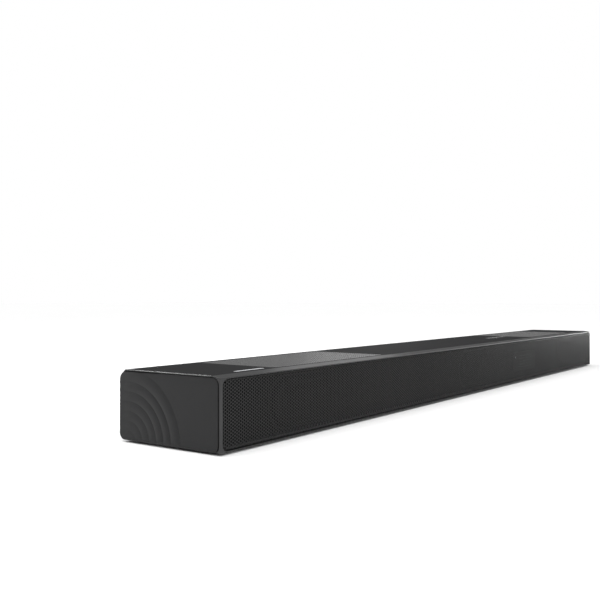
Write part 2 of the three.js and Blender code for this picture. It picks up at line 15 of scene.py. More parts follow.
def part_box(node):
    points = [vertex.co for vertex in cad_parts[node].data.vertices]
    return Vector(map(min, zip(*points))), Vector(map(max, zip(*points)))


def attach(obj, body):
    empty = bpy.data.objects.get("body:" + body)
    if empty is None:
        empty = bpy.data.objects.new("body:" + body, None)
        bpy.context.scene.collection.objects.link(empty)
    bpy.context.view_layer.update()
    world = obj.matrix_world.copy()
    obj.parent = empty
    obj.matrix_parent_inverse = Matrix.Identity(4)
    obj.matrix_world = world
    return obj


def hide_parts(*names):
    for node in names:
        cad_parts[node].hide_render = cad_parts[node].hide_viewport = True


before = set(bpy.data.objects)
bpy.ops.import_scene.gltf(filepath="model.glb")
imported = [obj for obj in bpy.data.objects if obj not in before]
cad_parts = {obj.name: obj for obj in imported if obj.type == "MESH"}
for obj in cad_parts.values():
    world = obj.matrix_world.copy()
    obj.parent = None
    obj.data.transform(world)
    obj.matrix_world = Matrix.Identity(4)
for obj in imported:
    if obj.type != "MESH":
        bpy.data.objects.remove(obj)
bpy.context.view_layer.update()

bl_info = {
    "name": "Soundbar",
    "version": (1, 0, 0),
    "blender": (4, 5, 0),
    "location": "View3D > Sidebar > Soundbar",
    "description": "Builds the visible pieces of a soundbar around its frame",
    "category": "Add Mesh",
}

MM = 0.001
HOUSING = "housing"
DRIVERS = ("left_driver", "centre_driver", "right_driver", "left_height_driver", "right_height_driver")
KEYS = ("power_key", "input_key", "volume_down_key", "volume_up_key")

# Places read from the frame
COVER_LOW, COVER_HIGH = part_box("top_cover")
BEZEL_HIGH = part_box("front_frame")[1]
GRILLE_LOW, GRILLE_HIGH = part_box("front_grille")
PANEL_LOW, PANEL_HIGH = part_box("left_end_panel")
HALF_LENGTH = COVER_HIGH.x
HALF_DEPTH = COVER_HIGH.y
TOP = COVER_HIGH.z
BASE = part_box("bottom_tray")[0].z

# Sizes shared by the housing pieces
WALL = 2.5 * MM
REAR_TOP_R = 9.5 * MM
STRIP_DROP = 1.5 * MM
BEZEL_LOW_R = 1.2 * MM
PANEL_FRONT_GAP = 1.3 * MM
PANEL_TOP_GAP = 0.8 * MM
PANEL_FRONT_R = 6 * MM
PANEL_REAR_TOP_R = 7.8 * MM
PANEL_REAR_LOW_R = 6 * MM
PANEL_RIM_R = 0.5 * MM
PANEL_SHADOW_GAP = 0.9 * MM
PANEL_SINK = 0.8 * MM
PANEL_THICK = 1.2 * MM
RING_CENTRE_FROM_REAR = 11 * MM
GRILLE_R = 5.4 * MM
GRILLE_GAP = 0.4 * MM
GRILLE_END_GAP = 1.1 * MM
POST_INSET = 0.5 * MM
LEDGE_DEPTH = 3 * MM
HEIGHT_GRILLE_R = 6 * MM
HEIGHT_LEDGE = 3 * MM
SHEET_THICK = 0.4 * MM
CLEARANCE = 0.3 * MM

# Where the cover's rims turn smooth
RIM_WIDTH = 1.6 * MM
RIM_SMOOTH_WIDTH = 0.7 * MM

# The end panels' rings
RING_FULLNESS = 0.85
RING_FADE = 14 * MM
RING_COUNT = 6

# The front frame
POST_R = 1.4 * MM
BEZEL_EDGE_R = 0.3 * MM
LEDGE_SIDE = 4 * MM
LEDGE_LOW = 2.1 * MM
LEDGE_HIGH = 1.7 * MM
LEDGE_R = 3 * MM

# The keys
KEY_LENGTH = 11.4 * MM
KEY_WIDTH = 8.4 * MM
KEY_R = 2 * MM
KEY_CAP_R = 1.7 * MM
KEY_DISH_RIM = 0.9 * MM
KEY_DISH_SLOPE = 0.8 * MM
KEY_DISH_DEPTH = 0.14 * MM
KEY_EDGE_R = 0.3 * MM

# Printed marks
SYMBOL_THICK = 0.03 * MM
SYMBOL_STROKE = 0.65 * MM
SYMBOL_SINK = 0.12 * MM
LINE_LENGTH = 38 * MM
LINE_WIDTH = 4 * MM
LINE_FROM_END = 56 * MM
LINE_FROM_FRONT = 17 * MM

# Drivers: the round middle, and how far the rest is drawn out sideways
OVAL_STRETCH = 25 * MM
ROUND_BELOW = 9.9 * MM
OVAL_ABOVE = 16 * MM
HEIGHT_TILT = math.radians(15)

# The display behind the grille
LAMP_GAP = 0.02 * MM
LAMP_THICK = 0.1 * MM
STATUS_R = 1.3 * MM
STATUS_FROM_CORNER = 8 * MM, 6 * MM
DOT_R = 0.5 * MM
DOT_PITCH = 4 * MM
DOTS_FROM_CORNER = 26 * MM, 5 * MM
DOT_COLUMNS = 12
DOT_ROWS = 5

# Screws: radius and height of the heads, and their places
TRAY_SCREW = 2.7 * MM, 1.4 * MM
TRAY_SCREW_RAISE = 1.6 * MM
TRAY_SCREW_PLACES = ((-0.482, 0.042), (-0.2, 0.042), (0.22, 0.042), (0.482, 0.042),
                     (-0.2, -0.038), (0.2, -0.038))
HANGER_SCREW = 2.4 * MM, 0.9 * MM
HANGER_SCREW_INSET = 4.5 * MM
HANGER_SCREW_DROP = 6 * MM

# Sockets: name, width and height of the sleeved tongue, and its contacts
TONGUE_FRONT = 1.3 * MM
TONGUE_LENGTH = 8 * MM
TONGUES = (("hdmi_in_socket", 11.8 * MM, 1.4 * MM, 9), ("hdmi_out_socket", 11.8 * MM, 1.4 * MM, 9),
           ("usb_socket", 11.2 * MM, 2 * MM, 4))

CONTACT_SPREAD = 0.86
CONTACT_HALF_SHARE = 0.27
CONTACT_HALF_THICK = 0.05 * MM
CONTACT_SETBACK = 0.2 * MM

# Edge radii of the pieces that keep their CAD shape, and the roll of the top inserts
FOOT_EDGE_R = 0.4 * MM
HANGER_EDGE_R = 0.15 * MM
LENS_EDGE_R = 0.4 * MM
PLATE_EDGE_R = 0.1 * MM
SOCKET_EDGE_R = 0.08 * MM
TONGUE_EDGE_R = 0.12 * MM
TOP_ROLL = 0.4 * MM

# The photograph's camera, level and without tilt
CAMERA_PLACE = (-0.9533, -0.4543, 0.1215)
CAMERA_TURN = math.radians(54.52)
CAMERA_LENS = 47.36
CAMERA_SHIFT = -0.0042
FLOOR_HALF = 14

# How much of the white surroundings lights the object
ROOM_LIGHT = 0.26
DOME_POWER = 2.9
DOME_SPREAD = math.radians(84)
DOME_PLACE = (-0.2, -0.2, 1)

# Name, place, aim, size and power of each area light
AREA_LIGHTS = (
    ("rear_strip", (-0.5, 1.3, 1.5), (-0.4, 0, 0.05), 0.5, 16),
    ("right_softbox", (2.2, -0.46, 0.15), (0.45, -0.056, 0.03), 0.25, 8),
    ("left_softbox", (-1.5, 2.3, 0.6), (-0.5, 0.03, 0.03), 0.8, 4),
    ("far_softbox", (2.0, 1.3, 0.75), (0.1, -0.05, 0.06), 0.5, 0.55),
    ("end_lamp", (-0.9, 0.5, 0.25), (-0.5, 0.02, 0.03), 0.3, 0.6),
    ("front_lamp", (-0.6, -0.6, 0.3), (-0.4, -0.056, 0.03), 0.3, 1.7),
)


class SoundbarSizes(PropertyGroup):
    """Sizes of the fine features that a user would change."""

    grille_pitch: FloatProperty(
        name="Grille pitch", description="Distance between neighbouring holes of the front grille",
        default=2.65 * MM, min=2 * MM, unit="LENGTH")
    grille_hole_side: FloatProperty(
        name="Grille hole side", description="Side of each six-sided hole of the front grille",
        default=1.17 * MM, unit="LENGTH")
    grille_roll: FloatProperty(
        name="Grille roll", description="Radius to which the grille's rim is rolled back",
        default=1.9 * MM, unit="LENGTH")
    top_pitch: FloatProperty(
        name="Top grille pitch", description="Distance between neighbouring holes of the top grilles",
        default=2.4 * MM, min=1.8 * MM, unit="LENGTH")
    top_hole_side: FloatProperty(
        name="Top grille hole side", description="Side of each six-sided hole of the top grilles",
        default=0.62 * MM, unit="LENGTH")
    end_round: FloatProperty(
        name="End edge radius", description="Radius of the housing's outer edges at both ends",
        default=0.9 * MM, unit="LENGTH")
    edge_round: FloatProperty(
        name="Edge radius", description="Radius of the housing's other moulded edges",
        default=0.22 * MM, unit="LENGTH")
    ripple_pitch: FloatProperty(
        name="Ripple pitch", description="Distance between neighbouring rings of the end panels",
        default=8.2 * MM, unit="LENGTH")
    ripple_height: FloatProperty(
        name="Ripple height", description="Height of the outer rings of the end panels",
        default=0.75 * MM, unit="LENGTH")
    ripple_steps: IntProperty(
        name="Ripple steps", description="Faces round a full turn of the rings", default=200, min=48)
    driver_steps: IntProperty(
        name="Driver steps", description="Faces round each driver", default=48, min=16)


class SoundbarColours(PropertyGroup):
    """Colours of the finishes that a user would change."""

    housing: FloatVectorProperty(
        name="Housing", description="Satin plastic of the cover, bezel and end panels",
        default=(0.024, 0.024, 0.025), subtype="COLOR")
    shell: FloatVectorProperty(
        name="Shell", description="Matte plastic of the tray and the rear panel",
        default=(0.017, 0.018, 0.019), subtype="COLOR")
    grille: FloatVectorProperty(
        name="Grille", description="Powder coat of the perforated sheets",
        default=(0.03, 0.03, 0.03), subtype="COLOR")
    print_silver: FloatVectorProperty(
        name="Silver print", description="Printed key symbols and the line on the cover",
        default=(0.62, 0.63, 0.65), subtype="COLOR")
    board: FloatVectorProperty(
        name="Circuit board", description="Solder mask of the circuit boards",
        default=(0.012, 0.075, 0.035), subtype="COLOR")
    floor: FloatVectorProperty(
        name="Floor", description="Plain floor under the soundbar",
        default=(0.9, 0.9, 0.9), subtype="COLOR")


# ---- Shader graphs ----


class Wire:
    """A node's output that takes part in arithmetic."""

    def __init__(self, graph, socket):
        self.graph = graph
        self.socket = socket

    def combine(self, operation, left, right):
        return self.graph.add("ShaderNodeMath", {"operation": operation}, {0: left, 1: right})

    def __add__(self, other):
        return self.combine("ADD", self, other)

    def __radd__(self, other):
        return self.combine("ADD", other, self)

    def __sub__(self, other):
        return self.combine("SUBTRACT", self, other)

    def __rsub__(self, other):
        return self.combine("SUBTRACT", other, self)

    def __mul__(self, other):
        return self.combine("MULTIPLY", self, other)

    def __rmul__(self, other):
        return self.combine("MULTIPLY", other, self)


class Graph:
    """A shader tree, with one method that adds any node."""

    def __init__(self, tree):
        self.tree = tree

    def add(self, kind, settings, inputs, output=0):
        node = self.tree.nodes.new(kind)
        for name, value in settings.items():
            setattr(node, name, value)
        for name, value in inputs.items():
            self.feed(node.inputs[name], value)
        return Wire(self, node.outputs[output])

    def feed(self, socket, value):
        if isinstance(value, Wire):
            self.tree.links.new(value.socket, socket)
        else:
            socket.default_value = value


class Finish(Graph):
    """A material with a Principled shader whose patterns follow the object's own coordinates."""

    def __init__(self, name, **constants):
        self.material = bpy.data.materials.new(name)
        self.material.use_nodes = True
        super().__init__(self.material.node_tree)
        self.shader = self.tree.nodes["Principled BSDF"]
        for socket, value in constants.items():
            self.set(socket.replace("_", " "), value)
        self.place = self.add("ShaderNodeTexCoord", {}, {}, "Object")

    def set(self, socket, value):
        self.feed(self.shader.inputs[socket], value)

    def noise(self, scale, detail=2.0, roughness=0.5):
        return self.add("ShaderNodeTexNoise", {},
                        {"Vector": self.place, "Scale": scale, "Detail": detail, "Roughness": roughness})

    def cells(self, scale):
        return self.add("ShaderNodeTexVoronoi", {"feature": "F1"},
                        {"Vector": self.place, "Scale": scale}, "Distance")

    def tint(self, factor, dark, light):
        """Base Color between two colours."""
        mixed = self.add("ShaderNodeMix", {"data_type": "RGBA"},
                         {0: factor, 6: (*dark, 1), 7: (*light, 1)}, 2)
        self.set("Base Color", mixed)
        return mixed

    def relief(self, height, distance):
        bump = self.add("ShaderNodeBump", {}, {"Height": height, "Distance": distance, "Strength": 1})
        self.set("Normal", bump)


def scaled(colour, factor):
    return tuple(min(1.0, channel * factor) for channel in colour)


def speckled(name, pattern, dark, light, roughness, spread, depth=0.0, **constants):
    """One noise pattern that varies colour and gloss, and relief where it has a depth."""
    finish = Finish(name, **constants)
    speck = finish.noise(*pattern)
    finish.tint(speck, dark, light)
    finish.set("Roughness", roughness + speck * spread)
    if depth:
        finish.relief(speck, depth)
    return finish.material


def moulded_plastic(name, colour, roughness, grain_scale, grain_depth, gloss=0.36):
    """Spark-eroded plastic: visible grain, faint flow marks and a slightly uneven gloss."""
    finish = Finish(name, IOR=1.5, Specular_IOR_Level=gloss)
    clouds = finish.noise(14, 3)
    grain = finish.noise(grain_scale, 3, 0.65)
    pits = finish.cells(grain_scale * 0.8)
    finish.tint(clouds * 0.3 + grain * 0.7, scaled(colour, 0.72), scaled(colour, 1.3))
    finish.set("Roughness", roughness - 0.06 + clouds * 0.06 + grain * 0.08)
    finish.relief(grain * 0.7 + pits * 0.3, grain_depth)
    return finish


def housing_plastic(colour):
    finish = moulded_plastic("housing_satin_plastic", scaled(colour, 0.6), 0.3, 1500, 0.01 * MM, 0.3)
    finish.set("Coat Weight", 0.1)
    finish.set("Coat Roughness", 0.15)
    return finish.material


def cover_plastic(colour):
    """Matte plastic that is rubbed smooth along the rims of both ends."""
    finish = moulded_plastic("cover_matte_plastic", scaled(colour, 0.42), 0.55, 1300, 0.006 * MM, 0.07)
    along = finish.add("ShaderNodeSeparateXYZ", {}, {"Vector": finish.place}, "X")
    from_middle = finish.add("ShaderNodeMath", {"operation": "ABSOLUTE"}, {0: along})
    rim = finish.add("ShaderNodeMapRange", {"interpolation_type": "SMOOTHSTEP"},
                     {"Value": from_middle, "From Min": HALF_LENGTH - RIM_WIDTH,
                      "From Max": HALF_LENGTH - RIM_SMOOTH_WIDTH})
    finish.set("Coat Weight", rim)
    finish.set("Coat Roughness", 0.27)
    return finish.material


def key_plastic(colour):
    """Glossy dark plastic of the keys."""
    finish = moulded_plastic("key_gloss_plastic", colour, 0.24, 1500, 0.008 * MM, 0.5)
    finish.set("Coat Weight", 1.0)
    finish.set("Coat Roughness", 0.12)
    return finish.material


def panel_plastic(colour):
    return moulded_plastic("end_panel_satin_plastic", scaled(colour, 0.56), 0.5, 800, 0.05 * MM,
                           0.22).material


def shell_plastic(colour):
    return moulded_plastic("shell_matte_plastic", colour, 0.6, 1300, 0.03 * MM).material


def inner_plastic(colour):
    return moulded_plastic("inner_moulding", scaled(colour, 0.3), 0.75, 1800, 0.03 * MM, 0.04).material


def powder_coat(colour):
    """Powder-coated steel sheet: soft orange peel under a fine texture."""
    finish = Finish("grille_powder_coat", IOR=1.5, Specular_IOR_Level=0.025)
    peel = finish.noise(1500, 3, 0.6)
    clouds = finish.noise(9, 2)
    finish.tint(clouds * 0.5 + peel * 0.5, scaled(colour, 0.85), scaled(colour, 1.35))
    finish.set("Roughness", 0.26 + peel * 0.1)
    finish.relief(peel, 0.01 * MM)
    return finish.material


def insert_coat(colour):
    """Smooth satin coat of the steel inserts in the top."""
    finish = Finish("insert_satin_coat", IOR=1.55, Metallic=0.6, Coat_Weight=1.0, Coat_Roughness=0.2)
    peel = finish.noise(1900, 3, 0.6)
    clouds = finish.noise(9, 2)
    finish.tint(clouds * 0.5 + peel * 0.5, scaled(colour, 1.3), scaled(colour, 1.9))
    finish.set("Roughness", 0.3 + peel * 0.08)
    finish.relief(peel, 0.008 * MM)
    return finish.material


def moulded_rubber():
    finish = Finish("foot_rubber", IOR=1.5)
    speck = finish.noise(2200, 4, 0.7)
    dust = finish.noise(60, 3)
    finish.tint(dust * 0.5 + speck * 0.5, (0.008, 0.008, 0.008), (0.022, 0.022, 0.021))
    finish.set("Roughness", 0.72 + speck * 0.16)
    finish.relief(speck, 0.04 * MM)
    return finish.material


def surround_rubber():
    return speckled("surround_rubber", (3000, 3, 0.7), (0.004, 0.004, 0.004), (0.008, 0.008, 0.008),
                    0.5, 0.2, 0.02 * MM, IOR=1.45, Specular_IOR_Level=0.02)


def cone_paper():
    """Pressed paper pulp: short fibres in a black binder."""
    finish = Finish("cone_pulp", IOR=1.45, Specular_IOR_Level=0.02)
    fibres = finish.add("ShaderNodeTexNoise", {},
                        {"Vector": finish.place, "Scale": 900, "Detail": 6, "Distortion": 1.6})
    finish.tint(fibres, (0.003, 0.003, 0.003), (0.014, 0.014, 0.014))
    finish.set("Roughness", 0.68 + fibres * 0.2)
    finish.relief(fibres, 0.06 * MM)
    return finish.material


def plated_steel():
    """Zinc-plated sheet with faint rolling lines and spangle."""
    finish = Finish("zinc_plated_steel", Metallic=1.0)
    stretch = finish.add("ShaderNodeMapping", {}, {"Vector": finish.place, "Scale": (60, 2600, 2600)})
    lines = finish.add("ShaderNodeTexNoise", {}, {"Vector": stretch, "Scale": 1, "Detail": 3})
    spangle = finish.cells(300)
    finish.tint(lines * 0.6 + spangle * 0.4, (0.36, 0.37, 0.39), (0.6, 0.61, 0.63))
    finish.set("Roughness", 0.26 + lines * 0.16)
    finish.relief(lines, 0.01 * MM)
    return finish.material


def dark_steel():
    return speckled("blackened_steel", (500, 4), (0.008, 0.008, 0.008), (0.022, 0.022, 0.023),
                    0.48, 0.15, 0.015 * MM, Specular_IOR_Level=0.08)


def ferrite():
    return speckled("magnet_ferrite", (1800, 5, 0.7), (0.02, 0.02, 0.022), (0.05, 0.05, 0.055),
                    0.55, 0.2, 0.03 * MM, IOR=1.9)


def brushed_aluminium():
    finish = Finish("extruded_aluminium", Metallic=1.0)
    stretch = finish.add("ShaderNodeMapping", {}, {"Vector": finish.place, "Scale": (3000, 40, 3000)})
    lines = finish.add("ShaderNodeTexNoise", {}, {"Vector": stretch, "Scale": 1, "Detail": 2})
    finish.tint(lines, (0.5, 0.5, 0.52), (0.68, 0.68, 0.7))
    finish.set("Roughness", 0.3 + lines * 0.15)
    finish.relief(lines, 0.01 * MM)
    return finish.material


def smoked_acrylic():
    return speckled("smoked_acrylic", (40, 3), (0.006, 0.006, 0.007), (0.012, 0.012, 0.013),
                    0.34, 0.1, IOR=1.49, Specular_IOR_Level=0.04)


def silver_print(colour):
    """Foil print: pale and slightly metallic."""
    return speckled("silver_foil_print", (4000, 3, 0.7), scaled(colour, 0.85), scaled(colour, 1.1),
                    0.34, 0.12, Metallic=0.35)


def solder_mask(colour):
    """Green lacquer over a fine pattern of copper tracks."""
    finish = Finish("solder_mask", IOR=1.5, Coat_Weight=0.4, Coat_Roughness=0.15)
    tracks = finish.add("ShaderNodeTexBrick", {"offset": 0.5},
                        {"Vector": finish.place, "Scale": 220, "Mortar Size": 0.09, "Brick Width": 1.4,
                         "Row Height": 0.5}, "Fac")
    clouds = finish.noise(90, 2)
    finish.tint(tracks * 0.7 + clouds * 0.3, scaled(colour, 0.8), scaled(colour, 1.9))
    finish.set("Roughness", 0.32 + clouds * 0.1)
    finish.relief(tracks, 0.03 * MM)
    return finish.material


def gold_contact():
    return speckled("gold_flash", (1200, 3), (0.7, 0.47, 0.16), (0.86, 0.62, 0.28),
                    0.22, 0.12, Metallic=1.0)


def winding_wire():
    finish = Finish("enamelled_copper", Metallic=0.9)
    turns = finish.add("ShaderNodeTexWave", {"bands_direction": "Z"},
                       {"Vector": finish.place, "Scale": 900, "Distortion": 0.2})
    finish.tint(turns, (0.2, 0.06, 0.02), (0.55, 0.2, 0.09))
    finish.set("Roughness", 0.3 + turns * 0.1)
    finish.relief(turns, 0.05 * MM)
    return finish.material


def lamp_finish(name, strength):
    finish = Finish(name, Emission_Strength=strength, Roughness=0.3, Specular_IOR_Level=0.1)
    glow = finish.noise(800, 1)
    lit = finish.tint(glow, (0.3, 0.31, 0.33), (0.4, 0.41, 0.43))
    finish.set("Emission Color", lit)
    return finish.material


def status_light():
    return lamp_finish("status_light", 0.9)


def display_light():
    return lamp_finish("display_light", 0.03)


def floor_paper(colour):
    return speckled("floor_paper", (3, 2), scaled(colour, 0.985), scaled(colour, 1.01), 0.9, 0.05, IOR=1.3)


MATERIAL_MAKERS = {
    "housing": (housing_plastic, "housing"),
    "cover": (cover_plastic, "housing"),
    "key": (key_plastic, "housing"),
    "panel": (panel_plastic, "housing"),
    "insert": (insert_coat, "grille"),
    "shell": (shell_plastic, "shell"),
    "inner": (inner_plastic, "shell"),
    "grille": (powder_coat, "grille"),
    "print": (silver_print, "print_silver"),
    "board": (solder_mask, "board"),
    "floor": (floor_paper, "floor"),
    "rubber": (moulded_rubber, None),
    "surround": (surround_rubber, None),
    "paper": (cone_paper, None),
    "steel": (plated_steel, None),
    "dark_steel": (dark_steel, None),
    "ferrite": (ferrite, None),
    "aluminium": (brushed_aluminium, None),
    "smoked": (smoked_acrylic, None),
    "gold": (gold_contact, None),
    "copper": (winding_wire, None),
    "light": (status_light, None),
    "dim_light": (display_light, None),
}
made_materials = {}


def finish_of(name):
    """The material of that finish, made once."""
    if name not in made_materials:
        maker, colour = MATERIAL_MAKERS[name]
        if colour:
            made_materials[name] = maker(tuple(getattr(bpy.context.scene.soundbar_colours, colour)))
        else:
            made_materials[name] = maker()
    return made_materials[name]


# ---- Outlines ----


def arc(centre_a, centre_b, radius, start, end, steps=8):
    """Points on an arc between two angles in degrees."""
    angles = [math.radians(start + (end - start) * k / steps) for k in range(steps + 1)]
    return [(centre_a + radius * math.cos(t), centre_b + radius * math.sin(t)) for t in angles]


def rounded_outline(low, high, radii, steps=8):
    """A rectangle with a radius for each corner, anticlockwise from the low-left one."""
    (a0, b0), (a1, b1) = low, high
    r = radii
    return (arc(a0 + r[0], b0 + r[0], r[0], 180, 270, steps)
            + arc(a1 - r[1], b0 + r[1], r[1], 270, 360, steps)
            + arc(a1 - r[2], b1 - r[2], r[2], 0, 90, steps)
            + arc(a0 + r[3], b1 - r[3], r[3], 90, 180, steps))


def plan_centre(low, high):
    return (low.x + high.x) / 2, (low.y + high.y) / 2


def rounded_rect(centre, width, height, radius, steps=6):
    a, b = centre
    return rounded_outline((a - width / 2, b - height / 2), (a + width / 2, b + height / 2),
                           (radius,) * 4, steps)


def end_panel_outline(front=0.0, top=0.0, outside=0.0):
    """Side view (front to back, up) of an end panel, grown at its front, top and flush edges."""
    front_r = PANEL_FRONT_R + (front + top) / 2
    return rounded_outline((PANEL_LOW.y - front, PANEL_LOW.z - outside),
                           (PANEL_HIGH.y + outside, PANEL_HIGH.z + top),
                           (front_r, PANEL_REAR_LOW_R + outside, PANEL_REAR_TOP_R + top, front_r), 10)


# ---- Mesh work ----

AXES = {"front": (0, 2, 1), "side": (1, 2, 0), "plan": (0, 1, 2)}


def moved_verts(result):
    return [item for item in result["geom"] if isinstance(item, bmesh.types.BMVert)]


def prism(outline, view, low, high):
    """An outline drawn in that view, extruded from low to high along the third axis."""
    bm = bmesh.new()
    first, second, along = AXES[view]
    corners = []
    for a, b in outline:
        place = [0.0, 0.0, 0.0]
        place[first], place[second], place[along] = a, b, low
        corners.append(bm.verts.new(place))
    end = bm.faces.new(corners)
    push = Vector((0, 0, 0))
    push[along] = high - low
    grown = bmesh.ops.extrude_face_region(bm, geom=[end])
    bmesh.ops.translate(bm, verts=moved_verts(grown), vec=push)
    bmesh.ops.remove_doubles(bm, verts=bm.verts, dist=1e-7)
    bmesh.ops.recalc_face_normals(bm, faces=bm.faces)
    return bm


def block(low, high):
    bm = bmesh.new()
    bmesh.ops.create_cube(bm, size=1)
    size = Vector(high) - Vector(low)
    bmesh.ops.scale(bm, verts=bm.verts, vec=size)
    bmesh.ops.translate(bm, verts=bm.verts, vec=(Vector(high) + Vector(low)) / 2)
    return bm


def scratch_object(bm):
    mesh = bpy.data.meshes.new("scratch")
    bm.to_mesh(mesh)
    bm.free()
    obj = bpy.data.objects.new("scratch", mesh)
    bpy.context.scene.collection.objects.link(obj)
    return obj


def carved(bm, tools, operation="DIFFERENCE"):
    """The body with each tool cut away, joined or kept in common."""
    body = scratch_object(bm)
    helpers = [scratch_object(tool) for tool in tools]
    for helper in helpers:
        cut = body.modifiers.new("cut", "BOOLEAN")
        cut.operation = operation
        cut.solver = "EXACT"
        cut.object = helper
    evaluated = body.evaluated_get(bpy.context.evaluated_depsgraph_get())
    result = bmesh.new()
    result.from_mesh(evaluated.to_mesh())
    evaluated.to_mesh_clear()
    for obj in (body, *helpers):
        mesh = obj.data
        bpy.data.objects.remove(obj)
        bpy.data.meshes.remove(mesh)
    tidy_faces(result)
    return result


def tidy_faces(bm):
    bmesh.ops.remove_doubles(bm, verts=bm.verts, dist=1e-6)
    bmesh.ops.dissolve_degenerate(bm, dist=1e-6, edges=bm.edges)
    bmesh.ops.dissolve_limit(bm, angle_limit=math.radians(0.4), verts=bm.verts, edges=bm.edges)


def soften(bm, width, segments=2, angle=30, where=None):
    """Rounds the edges that are sharper than the angle, in degrees."""
    limit = math.radians(angle)
    edges = [e for e in bm.edges if len(e.link_faces) == 2 and e.calc_face_angle(0) > limit
             and (where is None or where(e))]
    bmesh.ops.bevel(bm, geom=edges, offset=width, offset_type="OFFSET", segments=segments, profile=0.5,
                    affect="EDGES", clamp_overlap=True, material=-1)
    return bm


def add_piece(name, bm, finish, body=HOUSING, replaces=(), smooth_angle=40, even=True):
    """Turns the mesh into a named piece that rides on its body."""
    mesh = bpy.data.meshes.new(name)
    bm.to_mesh(mesh)
    bm.free()
    mesh.materials.append(finish_of(finish))
    mesh.polygons.foreach_set("use_smooth", [True] * len(mesh.polygons))
    mesh.set_sharp_from_angle(angle=math.radians(smooth_angle))
    piece = bpy.data.objects.new(name, mesh)
    bpy.context.scene.collection.objects.link(piece)
    if even:
        shading = piece.modifiers.new("even_shading", "WEIGHTED_NORMAL")
        shading.keep_sharp = True
    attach(piece, body)
    if replaces:
        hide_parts(*replaces)
    return piece


def merged_copy(node):
    """A CAD node's mesh as one clean bmesh."""
    bm = bmesh.new()
    bm.from_mesh(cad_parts[node].data)
    tidy_faces(bm)
    return bm


def softened_copy(name, node, finish, width, body=HOUSING, segments=2):
    bm = soften(merged_copy(node), width, segments)
    return add_piece(name, bm, finish, body, (node,))


def end_pockets():
    """The seats of both end panels."""
    depth = PANEL_SINK + PANEL_THICK + CLEARANCE
    outline = end_panel_outline(PANEL_FRONT_GAP, PANEL_TOP_GAP, WALL)
    return [prism(outline, "side", HALF_LENGTH - depth, HALF_LENGTH + WALL),
            prism(outline, "side", -HALF_LENGTH - WALL, -HALF_LENGTH + depth)]


def outer_end_edge(edge):
    return all(abs(abs(v.co.x) - HALF_LENGTH) < 1e-6 for v in edge.verts)


# ---- Housing ----


def cover_shell(sizes):
    front, skirt = COVER_LOW.y, COVER_LOW.z
    rear_a, rear_b = HALF_DEPTH - REAR_TOP_R, TOP - REAR_TOP_R
    outline = ([(front, TOP - WALL)]
               + arc(rear_a, rear_b, REAR_TOP_R - WALL, 90, 0, 10)
               + [(HALF_DEPTH - WALL, skirt), (HALF_DEPTH, skirt)]
               + arc(rear_a, rear_b, REAR_TOP_R, 0, 90, 12)
               + [(front, TOP)])
    bm = prism(outline, "side", -HALF_LENGTH, HALF_LENGTH)
    soften(bm, sizes.end_round, 4, 30, outer_end_edge)
    cutters = end_pockets()
    for node in ("left_height_grille", "right_height_grille"):
        low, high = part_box(node)
        centre = plan_centre(low, high)
        length, width = high.x - low.x, high.y - low.y
        seat = rounded_rect(centre, length + 2 * CLEARANCE, width + 2 * CLEARANCE,
                            HEIGHT_GRILLE_R + CLEARANCE, 8)
        window = rounded_rect(centre, length - 2 * HEIGHT_LEDGE, width - 2 * HEIGHT_LEDGE,
                              HEIGHT_GRILLE_R - HEIGHT_LEDGE, 8)
        cutters.append(prism(seat, "plan", low.z - CLEARANCE, TOP + WALL))
        cutters.append(prism(window, "plan", TOP - 3 * WALL, TOP + WALL))
    for key in KEYS:
        low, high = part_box(key)
        centre = plan_centre(low, high)
        hole = rounded_rect(centre, KEY_LENGTH + 2 * CLEARANCE, KEY_WIDTH + 2 * CLEARANCE, KEY_R, 6)
        cutters.append(prism(hole, "plan", TOP - 3 * WALL, TOP + WALL))
    bm = carved(bm, cutters)
    return soften(bm, sizes.edge_round, 2)


def bezel_ring(sizes):
    """The front frame: sloping strip, corner posts and a ledge behind the grille."""
    front, rear = -HALF_DEPTH, BEZEL_HIGH.y
    slope = STRIP_DROP / (rear - front)
    strip_rear = TOP - STRIP_DROP + slope * (rear - front)
    outline = (arc(front + BEZEL_LOW_R, BASE + BEZEL_LOW_R, BEZEL_LOW_R, 180, 270, 5)
               + [(rear, BASE), (rear, strip_rear), (front, TOP - STRIP_DROP)])
    bm = prism(outline, "side", -HALF_LENGTH, HALF_LENGTH)
    soften(bm, POST_R, 5, 30, lambda e: outer_end_edge(e) and all(v.co.y < front + 1e-6 for v in e.verts))
    soften(bm, sizes.end_round, 4, 30, outer_end_edge)
    half_opening = GRILLE_HIGH.x + GRILLE_GAP - POST_INSET
    opening = rounded_outline((-half_opening, GRILLE_LOW.z - GRILLE_GAP),
                              (half_opening, GRILLE_HIGH.z + GRILLE_GAP), (GRILLE_R + GRILLE_GAP,) * 4, 10)
    inner = rounded_outline((GRILLE_LOW.x + LEDGE_SIDE, GRILLE_LOW.z + LEDGE_LOW),
                            (GRILLE_HIGH.x - LEDGE_SIDE, GRILLE_HIGH.z - LEDGE_HIGH), (LEDGE_R,) * 4, 8)
    cutters = end_pockets()
    cutters.append(prism(opening, "front", front - WALL, front + LEDGE_DEPTH))
    cutters.append(prism(inner, "front", front - WALL, rear + WALL))
    bm = carved(bm, cutters)
    return soften(bm, BEZEL_EDGE_R, 3)


def smooth_step(share):
    """Rises smoothly from 0 to 1 as the share does."""
    share = min(max(share, 0), 1)
    return share * share * (3 - 2 * share)


